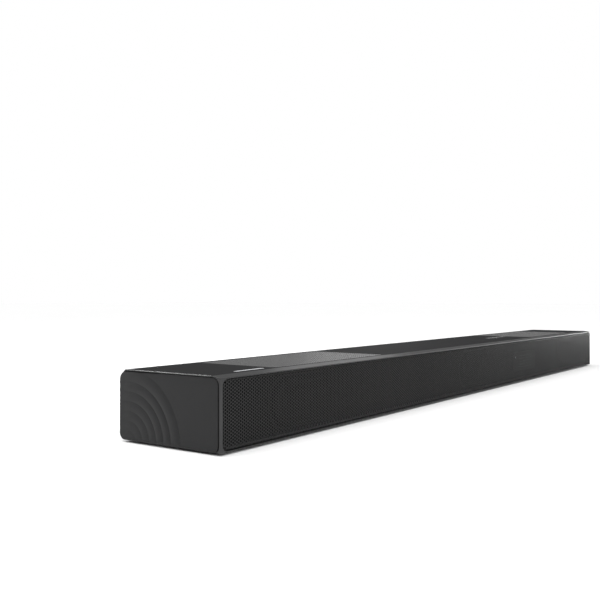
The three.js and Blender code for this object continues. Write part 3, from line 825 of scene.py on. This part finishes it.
def ripple_lift(radius, sizes):
    """Height of the rings at a distance from their centre."""
    pitch = sizes.ripple_pitch
    last_start = RING_COUNT * pitch
    last_width = 1.25 * pitch
    if radius < last_start:
        crest = abs(math.sin(math.pi * radius / pitch)) ** RING_FULLNESS
        swell = 0.15 + 0.85 * radius / last_start
        return sizes.ripple_height * crest * swell
    if radius < last_start + last_width:
        return sizes.ripple_height * math.sin(math.pi * (radius - last_start) / last_width) ** RING_FULLNESS
    return 0.0


def rippled_panel(sizes, side):
    """An end panel: a ripple profile spun about its centre, trimmed to the panel's outline."""
    face_x = HALF_LENGTH - PANEL_SINK
    centre = Vector((face_x, HALF_DEPTH - RING_CENTRE_FROM_REAR, BASE))
    reach = 8 * sizes.ripple_pitch
    bm = bmesh.new()
    ring_step = sizes.ripple_pitch / 20
    spokes = []
    for radius in [k * ring_step for k in range(round(reach / ring_step) + 1)] + [2 * HALF_DEPTH]:
        lift = ripple_lift(radius, sizes)
        spokes.append(bm.verts.new(centre + Vector((lift, radius, 0))))
    edges = [bm.edges.new(pair) for pair in zip(spokes, spokes[1:])]
    bmesh.ops.spin(bm, geom=spokes + edges, cent=centre, axis=(1, 0, 0), angle=2 * math.pi,
                   steps=sizes.ripple_steps, use_merge=True)
    bmesh.ops.remove_doubles(bm, verts=bm.verts, dist=1e-6)
    bmesh.ops.recalc_face_normals(bm, faces=bm.faces)
    outline = end_panel_outline(-PANEL_SHADOW_GAP)
    trim_to_outline(bm, outline, "side")
    for vert in bm.verts:
        calm = smooth_step((HALF_DEPTH - vert.co.y) / RING_FADE)
        calm *= smooth_step((vert.co.z - BASE) / (RING_FADE / 4))
        vert.co.x = face_x + (vert.co.x - face_x) * calm
    for face in bm.faces:
        if face.normal.x < 0:
            face.normal_flip()
    roll_rim(bm, outline, "side", PANEL_RIM_R, 1)
    rim = [e for e in bm.edges if e.is_boundary]
    grown = bmesh.ops.extrude_edge_only(bm, edges=rim)
    for vert in moved_verts(grown):
        vert.co.x = face_x - PANEL_THICK
    back = [e for e in bm.edges if e.is_boundary]
    bmesh.ops.contextual_create(bm, geom=back)
    bmesh.ops.recalc_face_normals(bm, faces=bm.faces)
    if side < 0:
        bmesh.ops.mirror(bm, geom=list(bm.verts) + list(bm.edges) + list(bm.faces), axis="X")
        gone = [v for v in bm.verts if v.co.x > 0]
        bmesh.ops.delete(bm, geom=gone, context="VERTS")
        bmesh.ops.recalc_face_normals(bm, faces=bm.faces)
    return bm


def trim_to_outline(bm, outline, view):
    """Cuts a flat mesh along each side of a convex outline."""
    first, second, _ = AXES[view]
    count = len(outline)
    for k in range(count):
        (a0, b0), (a1, b1) = outline[k], outline[(k + 1) % count]
        if math.hypot(a1 - a0, b1 - b0) < 1e-7:
            continue
        point, outward = Vector((0, 0, 0)), Vector((0, 0, 0))
        point[first], point[second] = a0, b0
        outward[first], outward[second] = b1 - b0, a0 - a1
        bmesh.ops.bisect_plane(bm, geom=list(bm.verts) + list(bm.edges) + list(bm.faces), dist=1e-7,
                               plane_co=point, plane_no=outward.normalized(), clear_outer=True)


def roll_rim(bm, outline, view, radius, outward):
    """Bends the rim back along a quarter round. Outward is the facing side of the third axis."""
    first, second, along = AXES[view]
    spans = [(Vector(outline[k]), Vector(outline[(k + 1) % len(outline)])) for k in range(len(outline))]
    spans = [(a, b, (b - a).normalized()) for a, b in spans if (b - a).length > 1e-7]
    for vert in bm.verts:
        place = Vector((vert.co[first], vert.co[second]))
        depth = min(abs((place - a).cross(d)) for a, b, d in spans)
        if depth < radius:
            vert.co[along] -= outward * (radius - math.sqrt(radius ** 2 - (radius - depth) ** 2))


# ---- Perforated sheets ----


def perforated_sheet(width, height, radius, pitch, hole_side, thick, roll):
    """A sheet facing +Z: a triangular lattice whose webs leave six-sided holes open."""
    step = pitch * math.sqrt(3) / 2
    columns = 2 * math.ceil(width / step / 2 + 1)
    rows = 2 * math.ceil(height / pitch / 2 + 1)
    bm = bmesh.new()
    bmesh.ops.create_grid(bm, x_segments=columns, y_segments=rows, size=0.5)
    bmesh.ops.scale(bm, verts=bm.verts, vec=(columns * step, rows * pitch, 1))
    lifted = [v for v in bm.verts if round(v.co.x / step) % 2]
    bmesh.ops.translate(bm, verts=lifted, vec=(0, pitch / 2, 0))
    bmesh.ops.triangulate(bm, faces=bm.faces, quad_method="SHORT_EDGE")
    inside = [e for e in bm.edges if not e.is_boundary]
    bmesh.ops.bevel(bm, geom=inside, offset=hole_side / 2, offset_type="OFFSET", segments=1, profile=0.5,
                    affect="EDGES", clamp_overlap=False, material=-1)
    holes = [f for f in bm.faces if len(f.verts) == 6]
    bmesh.ops.delete(bm, geom=holes, context="FACES_ONLY")
    outline = rounded_rect((0, 0), width, height, radius, 6)
    trim_to_outline(bm, outline, "plan")
    for face in bm.faces:
        if face.normal.z < 0:
            face.normal_flip()
    if roll:
        roll_box_rim(bm, width, height, radius, roll)
    walls = bmesh.ops.extrude_edge_only(bm, edges=[e for e in bm.edges if e.is_boundary])
    bmesh.ops.translate(bm, verts=moved_verts(walls), vec=(0, 0, -thick))
    return bm


def roll_box_rim(bm, width, height, radius, roll):
    """Bends the rim of a rounded rectangle about the origin back along a quarter round."""
    core_a, core_b = width / 2 - radius, height / 2 - radius
    for vert in bm.verts:
        out_a = max(abs(vert.co.x) - core_a, 0)
        out_b = max(abs(vert.co.y) - core_b, 0)
        depth = radius - math.hypot(out_a, out_b)
        if depth < roll:
            vert.co.z -= roll - math.sqrt(max(roll ** 2 - (roll - max(depth, 0)) ** 2, 0))


# ---- Turned pieces ----


def turned(profile, steps, oval=True):
    """A closed (radius, height) profile in millimetres, spun about Z and drawn out along X."""
    bm = bmesh.new()
    half_step = math.pi / steps
    ring = [bm.verts.new((r * MM * math.sin(half_step), r * MM * math.cos(half_step), z * MM))
            for r, z in profile]
    edges = [bm.edges.new((ring[k], ring[(k + 1) % len(ring)])) for k in range(len(ring))]
    bmesh.ops.spin(bm, geom=ring + edges, cent=(0, 0, 0), axis=(0, 0, 1), angle=2 * math.pi, steps=steps,
                   use_merge=True)
    bmesh.ops.remove_doubles(bm, verts=bm.verts, dist=1e-7)
    flat = [e for e in bm.edges if not e.link_faces]
    bmesh.ops.delete(bm, geom=flat, context="EDGES")
    if oval:
        for vert in bm.verts:
            radius = math.hypot(vert.co.x, vert.co.y)
            share = min(max((radius - ROUND_BELOW) / (OVAL_ABOVE - ROUND_BELOW), 0), 1)
            vert.co.x += math.copysign(share * OVAL_STRETCH, vert.co.x) if abs(vert.co.x) > 1e-9 else 0
    bmesh.ops.recalc_face_normals(bm, faces=bm.faces)
    return bm


def curve_profile(start, end, bow, steps=8):
    """Points from start to end that bow sideways by a share of the distance."""
    (r0, z0), (r1, z1) = start, end
    points = []
    for k in range(steps + 1):
        t = k / steps
        side = bow * 4 * t * (1 - t)
        points.append((r0 + (r1 - r0) * t - (z1 - z0) * side, z0 + (z1 - z0) * t + (r1 - r0) * side))
    return points


def cone_profile():
    """Dust cap, flared cone, upright rim and voice-coil former."""
    front = curve_profile((0, -6.4), (8.6, -8.6), 0.1) + curve_profile((8.9, -9), (14.2, 0.4), -0.08)
    back = curve_profile((14.6, -0.6), (8.9, -10.6), 0.08) + [(8.9, -22), (8, -22), (8, -10), (0, -7.6)]
    return front + [(15.5, 3.8), (16.3, 3.8), (16.3, 0.8)] + back


def surround_profile():
    """A half roll between the cone's rim and its glued foot on the flange."""
    centre, outer, inner, low = 18.4, 1.8, 1.1, 3.0
    return ([(22, 2.3), (22, low)] + arc(centre, low, outer, 0, 180, 10)
            + arc(centre, low, inner, 180, 0, 8) + [(centre + inner, 2.3)])


BASKET_PROFILE = [(10.5, -15.5), (15.5, -15.5), (20, -1), (20, 0), (22.8, 0), (23, 0.2), (23, 1.8), (22.8, 2),
                  (19.2, 2), (19, 1.8), (19, -1), (14.4, -14), (10.5, -14)]
MAGNET_PROFILE = [(0, -31), (13.6, -31), (14, -30.6), (14, -28.5), (16.6, -28.5), (17, -28.1), (17, -19.4),
                  (16.6, -19), (14.5, -19), (14.5, -15.9), (9.8, -15.9), (9.8, -26), (7.4, -26), (7.4, -15.9),
                  (0, -15.9)]


def driver_place(name):
    """Matrix from a driver's own axis to its place, read from its basket."""
    tilt = HEIGHT_TILT if "height" in name else math.pi / 2
    low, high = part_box(name + "_basket")
    turn = Matrix.Rotation(tilt, 4, "X")
    probe = turned(BASKET_PROFILE, 12)
    bmesh.ops.transform(probe, matrix=turn, verts=probe.verts)
    probe_low = Vector([min(v.co[i] for v in probe.verts) for i in range(3)])
    probe_high = Vector([max(v.co[i] for v in probe.verts) for i in range(3)])
    probe.free()
    return Matrix.Translation((low + high - probe_low - probe_high) / 2) @ turn


# ---- Small parts ----


def screw_head(radius, height):
    """A pan head with a cross recess, standing on z = 0 and facing +Z."""
    bm = bmesh.new()
    bmesh.ops.create_cone(bm, cap_ends=True, segments=20, radius1=radius, radius2=radius, depth=height)
    bmesh.ops.translate(bm, verts=bm.verts, vec=(0, 0, height / 2))
    soften(bm, height * 0.45, 3, 30, lambda e: all(v.co.z > height * 0.9 for v in e.verts))
    arm, web = radius * 0.58, radius * 0.13
    tools = [block((-arm, -web, height * 0.35), (arm, web, height * 2)),
             block((-web, -arm, height * 0.35), (web, arm, height * 2))]
    return carved(bm, tools)


def joined(parts):
    """One mesh from several."""
    whole = bmesh.new()
    scratch = bpy.data.meshes.new("scratch")
    for bm in parts:
        bm.to_mesh(scratch)
        bm.free()
        whole.from_mesh(scratch)
    bpy.data.meshes.remove(scratch)
    return whole


def scattered(make, places):
    """One mesh that holds a copy of the made shape at each matrix."""
    copies = [make() for _ in places]
    for bm, place in zip(copies, places):
        bmesh.ops.transform(bm, matrix=place, verts=bm.verts)
    return joined(copies)


def key_cap(low, high):
    """A key with a dished top on a thin flange."""
    centre = plan_centre(low, high)
    cap = prism(rounded_rect(centre, KEY_LENGTH, KEY_WIDTH, KEY_CAP_R, 6), "plan", low.z, high.z)
    top = max(cap.faces, key=lambda f: f.calc_center_median().z)
    bmesh.ops.inset_region(cap, faces=[top], thickness=KEY_DISH_RIM)
    bmesh.ops.inset_region(cap, faces=[top], thickness=KEY_DISH_SLOPE, depth=-KEY_DISH_DEPTH)
    soften(cap, KEY_EDGE_R, 3, 50)
    flange = prism(rounded_rect(centre, high.x - low.x, high.y - low.y, KEY_R, 6), "plan", low.z,
                   TOP - WALL - CLEARANCE)
    return carved(cap, [flange], "UNION")


def lamp_dot(place, radius):
    """A flat round lamp that faces -Y."""
    bm = bmesh.new()
    turn = Matrix.Rotation(math.pi / 2, 4, "X")
    bmesh.ops.create_cone(bm, cap_ends=True, segments=12, radius1=radius, radius2=radius,
                          depth=LAMP_THICK, matrix=Matrix.Translation(place) @ turn)
    return bm


def bar_mark(centre, width, height):
    """A thin printed bar on the plane z = 0."""
    return prism(rounded_rect(centre, width, height, min(width, height) * 0.45, 4), "plan", 0, SYMBOL_THICK)


def ring_mark(centre, radius, stroke, start, end, steps=28):
    """A thin printed arc between two angles in degrees."""
    outer = arc(*centre, radius, start, end, steps)
    inner = arc(*centre, radius - stroke, end, start, steps)
    return prism(outer + inner, "plan", 0, SYMBOL_THICK)


def key_symbol(name):
    """Generic symbols: power, input, minus and plus."""
    stroke = SYMBOL_STROKE
    if name == "power_key":
        return carved(ring_mark((0, 0), 1.9 * MM, stroke, -235, 55),
                      [bar_mark((0, 1.3 * MM), stroke, 2 * MM)], "UNION")
    if name == "input_key":
        return carved(ring_mark((0.5 * MM, 0), 2 * MM, stroke, -140, 140),
                      [bar_mark((-1.2 * MM, 0), 3.4 * MM, stroke)], "UNION")
    minus = bar_mark((0, 0), 4 * MM, stroke)
    if name == "volume_down_key":
        return minus
    return carved(minus, [bar_mark((0, 0), stroke, 4 * MM)], "UNION")


def tongue_sleeve(centre, width, height):
    """The moulded sleeve of a socket's tongue, from the middle of its rear end."""
    half = Vector((width / 2, 0, height / 2))
    return soften(block(centre - half - Vector((0, TONGUE_LENGTH, 0)), centre + half), TONGUE_EDGE_R)


def tongue_contacts(centre, width, height, count):
    """A row of thin strips on both faces of a tongue."""
    pitch = width * CONTACT_SPREAD / count
    half = pitch * CONTACT_HALF_SHARE
    strips = []
    for k in range(count):
        x = centre.x + (k - (count - 1) / 2) * pitch
        for side in (-1, 1):
            face = centre.z + side * height / 2
            strips.append(block((x - half, centre.y - TONGUE_LENGTH, face - CONTACT_HALF_THICK),
                                (x + half, centre.y - CONTACT_SETBACK, face + CONTACT_HALF_THICK)))
    return joined(strips)


# ---- Operators ----


class PieceOperator:
    """What the soundbar's operators share."""

    bl_options = {"REGISTER", "UNDO"}

    def execute(self, context):
        self.build(context.scene.soundbar_sizes)
        return {"FINISHED"}


class SOUNDBAR_OT_stage(PieceOperator, Operator):
    """Make the camera, the floor and the soft lights"""

    bl_idname = "soundbar.stage"
    bl_label = "Stage"

    def build(self, sizes):
        self.camera()
        self.floor()
        self.lights()

    def camera(self):
        data = bpy.data.cameras.new("camera")
        data.lens = CAMERA_LENS
        data.sensor_width = 36
        data.shift_y = CAMERA_SHIFT
        data.clip_start = 0.01
        data.clip_end = 60
        camera = bpy.data.objects.new("camera", data)
        bpy.context.scene.collection.objects.link(camera)
        camera.location = CAMERA_PLACE
        camera.rotation_euler = (math.pi / 2, 0, -CAMERA_TURN)
        bpy.context.scene.camera = camera

    def floor(self):
        bm = bmesh.new()
        bmesh.ops.create_grid(bm, x_segments=4, y_segments=4, size=FLOOR_HALF)
        mesh = bpy.data.meshes.new("floor")
        bm.to_mesh(mesh)
        bm.free()
        mesh.materials.append(finish_of("floor"))
        floor = bpy.data.objects.new("floor", mesh)
        bpy.context.scene.collection.objects.link(floor)

    def lights(self):
        scene = bpy.context.scene
        scene.view_settings.view_transform = "Standard"
        world = bpy.data.worlds.new("studio")
        world.use_nodes = True
        graph = Graph(world.node_tree)
        seen = graph.add("ShaderNodeLightPath", {}, {}, "Is Camera Ray")
        graph.feed(graph.tree.nodes["Background"].inputs["Strength"], ROOM_LIGHT + seen * (1 - ROOM_LIGHT))
        graph.feed(graph.tree.nodes["Background"].inputs["Color"], (1, 1, 1, 1))
        scene.world = world
        dome = bpy.data.lights.new("overhead_dome", "SUN")
        dome.energy = DOME_POWER
        dome.angle = DOME_SPREAD
        self.hang(dome, DOME_PLACE, (0, 0, 0))
        for name, place, aim, size, power in AREA_LIGHTS:
            data = bpy.data.lights.new(name, "AREA")
            data.size = size
            data.energy = power
            self.hang(data, place, aim).visible_camera = False

    def hang(self, data, place, aim):
        lamp = bpy.data.objects.new(data.name, data)
        lamp.location = place
        lamp.rotation_euler = (Vector(aim) - Vector(place)).to_track_quat("-Z", "Y").to_euler()
        bpy.context.scene.collection.objects.link(lamp)
        return lamp


class SOUNDBAR_OT_cover(PieceOperator, Operator):
    """Make the top cover and the plain silver line printed on it"""

    bl_idname = "soundbar.cover"
    bl_label = "Top cover"

    def build(self, sizes):
        add_piece("cover_shell", cover_shell(sizes), "cover", replaces=("top_cover",))
        line = bar_mark((0, 0), LINE_LENGTH, LINE_WIDTH)
        place = Matrix.Translation((-HALF_LENGTH + LINE_FROM_END, -HALF_DEPTH + LINE_FROM_FRONT, TOP))
        bmesh.ops.transform(line, matrix=place, verts=line.verts)
        add_piece("silver_line", line, "print")


class SOUNDBAR_OT_bezel(PieceOperator, Operator):
    """Make the front frame with its corner posts"""

    bl_idname = "soundbar.bezel"
    bl_label = "Front frame"

    def build(self, sizes):
        add_piece("bezel_ring", bezel_ring(sizes), "housing", replaces=("front_frame",))


class SOUNDBAR_OT_end_panels(PieceOperator, Operator):
    """Make both rippled end panels"""

    bl_idname = "soundbar.end_panels"
    bl_label = "End panels"

    def build(self, sizes):
        for name, node, side in (("left_rippled_panel", "left_end_panel", -1),
                                 ("right_rippled_panel", "right_end_panel", 1)):
            add_piece(name, rippled_panel(sizes, side), "panel", replaces=(node,), even=False)


class SOUNDBAR_OT_front_grille(PieceOperator, Operator):
    """Make the perforated front grille"""

    bl_idname = "soundbar.front_grille"
    bl_label = "Front grille"

    def build(self, sizes):
        width = GRILLE_HIGH.x - GRILLE_LOW.x - 2 * GRILLE_END_GAP
        height = GRILLE_HIGH.z - GRILLE_LOW.z
        bm = perforated_sheet(width, height, GRILLE_R, sizes.grille_pitch, sizes.grille_hole_side,
                              SHEET_THICK, sizes.grille_roll)
        centre = Vector((0, GRILLE_LOW.y, (GRILLE_LOW.z + GRILLE_HIGH.z) / 2))
        place = Matrix.Translation(centre) @ Matrix.Rotation(math.pi / 2, 4, "X")
        bmesh.ops.transform(bm, matrix=place, verts=bm.verts)
        add_piece("perforated_grille", bm, "grille", replaces=("front_grille",), even=False)


class SOUNDBAR_OT_height_grilles(PieceOperator, Operator):
    """Make the perforated inserts over the up-firing drivers"""

    bl_idname = "soundbar.height_grilles"
    bl_label = "Top grilles"

    def build(self, sizes):
        for side in ("left", "right"):
            node = side + "_height_grille"
            low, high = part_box(node)
            bm = perforated_sheet(high.x - low.x, high.y - low.y, HEIGHT_GRILLE_R, sizes.top_pitch,
                                  sizes.top_hole_side, SHEET_THICK, TOP_ROLL)
            centre = Vector((*plan_centre(low, high), high.z))
            bmesh.ops.translate(bm, verts=bm.verts, vec=centre)
            add_piece(side + "_top_grille", bm, "insert", replaces=(node,), even=False)


class SOUNDBAR_OT_shell(PieceOperator, Operator):
    """Make the bottom tray, the rear panel, their screws, the feet and the wall hangers"""

    bl_idname = "soundbar.shell"
    bl_label = "Tray and rear"

    def build(self, sizes):
        softened_copy("tray_shell", "bottom_tray", "shell", sizes.edge_round)
        softened_copy("rear_shell", "rear_panel", "shell", sizes.edge_round)
        for name in ("front_left", "front_right", "rear_left", "rear_right"):
            softened_copy(name + "_pad", name + "_foot", "rubber", FOOT_EDGE_R, segments=3)
        for side in ("left", "right"):
            softened_copy(side + "_keyhole_plate", side + "_wall_hanger", "steel",
                          HANGER_EDGE_R)
        self.screws()

    def screws(self):
        turned_down = Matrix.Rotation(math.pi, 4, "X")
        places = [Matrix.Translation((x, y, BASE + TRAY_SCREW_RAISE)) @ turned_down
                  for x, y in TRAY_SCREW_PLACES]
        bm = scattered(lambda: screw_head(*TRAY_SCREW), places)
        add_piece("tray_screws", bm, "dark_steel")
        turned_back = Matrix.Rotation(-math.pi / 2, 4, "X")
        places = []
        for side in ("left", "right"):
            low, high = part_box(side + "_wall_hanger")
            z = (low.z + high.z) / 2 - HANGER_SCREW_DROP
            for x in (low.x + HANGER_SCREW_INSET, high.x - HANGER_SCREW_INSET):
                places.append(Matrix.Translation((x, high.y, z)) @ turned_back)
        bm = scattered(lambda: screw_head(*HANGER_SCREW), places)
        add_piece("hanger_screws", bm, "dark_steel")


class SOUNDBAR_OT_keys(PieceOperator, Operator):
    """Make the four keys and their printed symbols"""

    bl_idname = "soundbar.keys"
    bl_label = "Keys"

    def build(self, sizes):
        for key in KEYS:
            low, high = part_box(key)
            add_piece(key + "_cap", key_cap(low, high), "key", key, (key,))
            symbol = key_symbol(key)
            centre = Vector((*plan_centre(low, high), high.z - SYMBOL_SINK))
            bmesh.ops.translate(symbol, verts=symbol.verts, vec=centre)
            add_piece(key + "_symbol", symbol, "print", key)


class SOUNDBAR_OT_drivers(PieceOperator, Operator):
    """Make the cones, surrounds, baskets and magnets of all drivers"""

    bl_idname = "soundbar.drivers"
    bl_label = "Drivers"

    def build(self, sizes):
        steps = sizes.driver_steps
        for name in DRIVERS:
            place = driver_place(name)
            for part, profile, finish, slot, oval, body in (
                    ("basket", BASKET_PROFILE, "dark_steel", "plain_steel", True, HOUSING),
                    ("magnet", MAGNET_PROFILE, "ferrite", "magnet_dark", False, HOUSING),
                    ("surround", surround_profile(), "surround", "rubber_black", True, HOUSING),
                    ("cone", cone_profile(), "paper", "cone_paper", True, name + "_cone")):
                bm = turned(profile, steps, oval)
                bmesh.ops.transform(bm, matrix=place, verts=bm.verts)
                node = name + "_" + part
                add_piece(node + "_turned", bm, finish, body, (node,))


class SOUNDBAR_OT_display(PieceOperator, Operator):
    """Make the display window and the status lights"""

    bl_idname = "soundbar.display"
    bl_label = "Display"

    def build(self, sizes):
        softened_copy("display_lens", "display_window", "smoked", LENS_EDGE_R)
        low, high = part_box("display_window")
        front = low.y - LAMP_GAP
        along, down = STATUS_FROM_CORNER
        status = lamp_dot(Vector((low.x + along, front, high.z - down)), STATUS_R)
        add_piece("status_light", status, "light")
        along, up = DOTS_FROM_CORNER
        corner = Vector((low.x + along, front, low.z + up))
        dots = [lamp_dot(corner + Vector((column * DOT_PITCH, 0, row * DOT_PITCH)), DOT_R)
                for column in range(DOT_COLUMNS) for row in range(DOT_ROWS)]
        add_piece("display_dots", joined(dots), "dim_light")


class SOUNDBAR_OT_sockets(PieceOperator, Operator):
    """Make the sockets, their tongues and contacts, and the plate round them"""

    bl_idname = "soundbar.sockets"
    bl_label = "Sockets"

    def build(self, sizes):
        softened_copy("socket_plate", "io_plate", "inner", PLATE_EDGE_R)
        for node, finish, slot in (("optical_socket", "inner", "matte_black"),
                                   ("aux_socket", "inner", "matte_black"),
                                   ("mains_inlet", "inner", "matte_black"),
                                   ("usb_socket", "steel", "plain_steel"),
                                   ("hdmi_in_socket", "steel", "plain_steel"),
                                   ("hdmi_out_socket", "steel", "plain_steel")):
            softened_copy(node + "_shell", node, finish, SOCKET_EDGE_R)
        for node, width, height, count in TONGUES:
            low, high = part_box(node)
            centre = Vector(((low.x + high.x) / 2, high.y - TONGUE_FRONT, (low.z + high.z) / 2))
            add_piece(node + "_tongue", tongue_sleeve(centre, width, height), "inner")
            contacts = tongue_contacts(centre, width, height, count)
            add_piece(node + "_contacts", contacts, "gold")


class SOUNDBAR_OT_electronics(PieceOperator, Operator):
    """Give the boards, baffles and power parts inside their finishes"""

    bl_idname = "soundbar.electronics"
    bl_label = "Electronics"

    def build(self, sizes):
        finishes = {
            "board": ("main_board", "power_board", "wireless_module", "display_board", "key_board"),
            "inner": ("driver_baffle", "left_height_baffle", "right_height_baffle"),
            "aluminium": ("heat_sink",),
            "copper": ("mains_transformer",),
            "smoked": ("ir_receiver", "reservoir_capacitor"),
        }
        for finish, nodes in finishes.items():
            for node in nodes:
                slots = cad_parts[node].data.materials
                slots.clear()
                slots.append(finish_of(finish))


STEPS = (SOUNDBAR_OT_stage, SOUNDBAR_OT_cover, SOUNDBAR_OT_bezel, SOUNDBAR_OT_end_panels,
         SOUNDBAR_OT_front_grille, SOUNDBAR_OT_height_grilles, SOUNDBAR_OT_shell, SOUNDBAR_OT_keys,
         SOUNDBAR_OT_drivers, SOUNDBAR_OT_display, SOUNDBAR_OT_sockets, SOUNDBAR_OT_electronics)


class SOUNDBAR_PT_pieces(Panel):
    """Lists the soundbar's sizes, colours and operators"""

    bl_idname = "SOUNDBAR_PT_pieces"
    bl_label = "Soundbar"
    bl_space_type = "VIEW_3D"
    bl_region_type = "UI"
    bl_category = "Soundbar"

    def draw(self, context):
        for group in (context.scene.soundbar_sizes, context.scene.soundbar_colours):
            for name in group.__annotations__:
                self.layout.prop(group, name)
        for step in STEPS:
            self.layout.operator(step.bl_idname)


CLASSES = (SoundbarSizes, SoundbarColours, *STEPS, SOUNDBAR_PT_pieces)


def register():
    for made in CLASSES:
        bpy.utils.register_class(made)
    bpy.types.Scene.soundbar_sizes = PointerProperty(type=SoundbarSizes)
    bpy.types.Scene.soundbar_colours = PointerProperty(type=SoundbarColours)


def unregister():
    del bpy.types.Scene.soundbar_colours
    del bpy.types.Scene.soundbar_sizes
    for made in reversed(CLASSES):
        bpy.utils.unregister_class(made)


def main():
    register()
    for step in STEPS:
        getattr(bpy.ops.soundbar, step.bl_idname.split(".")[1])()


if __name__ == "__main__":
    main()
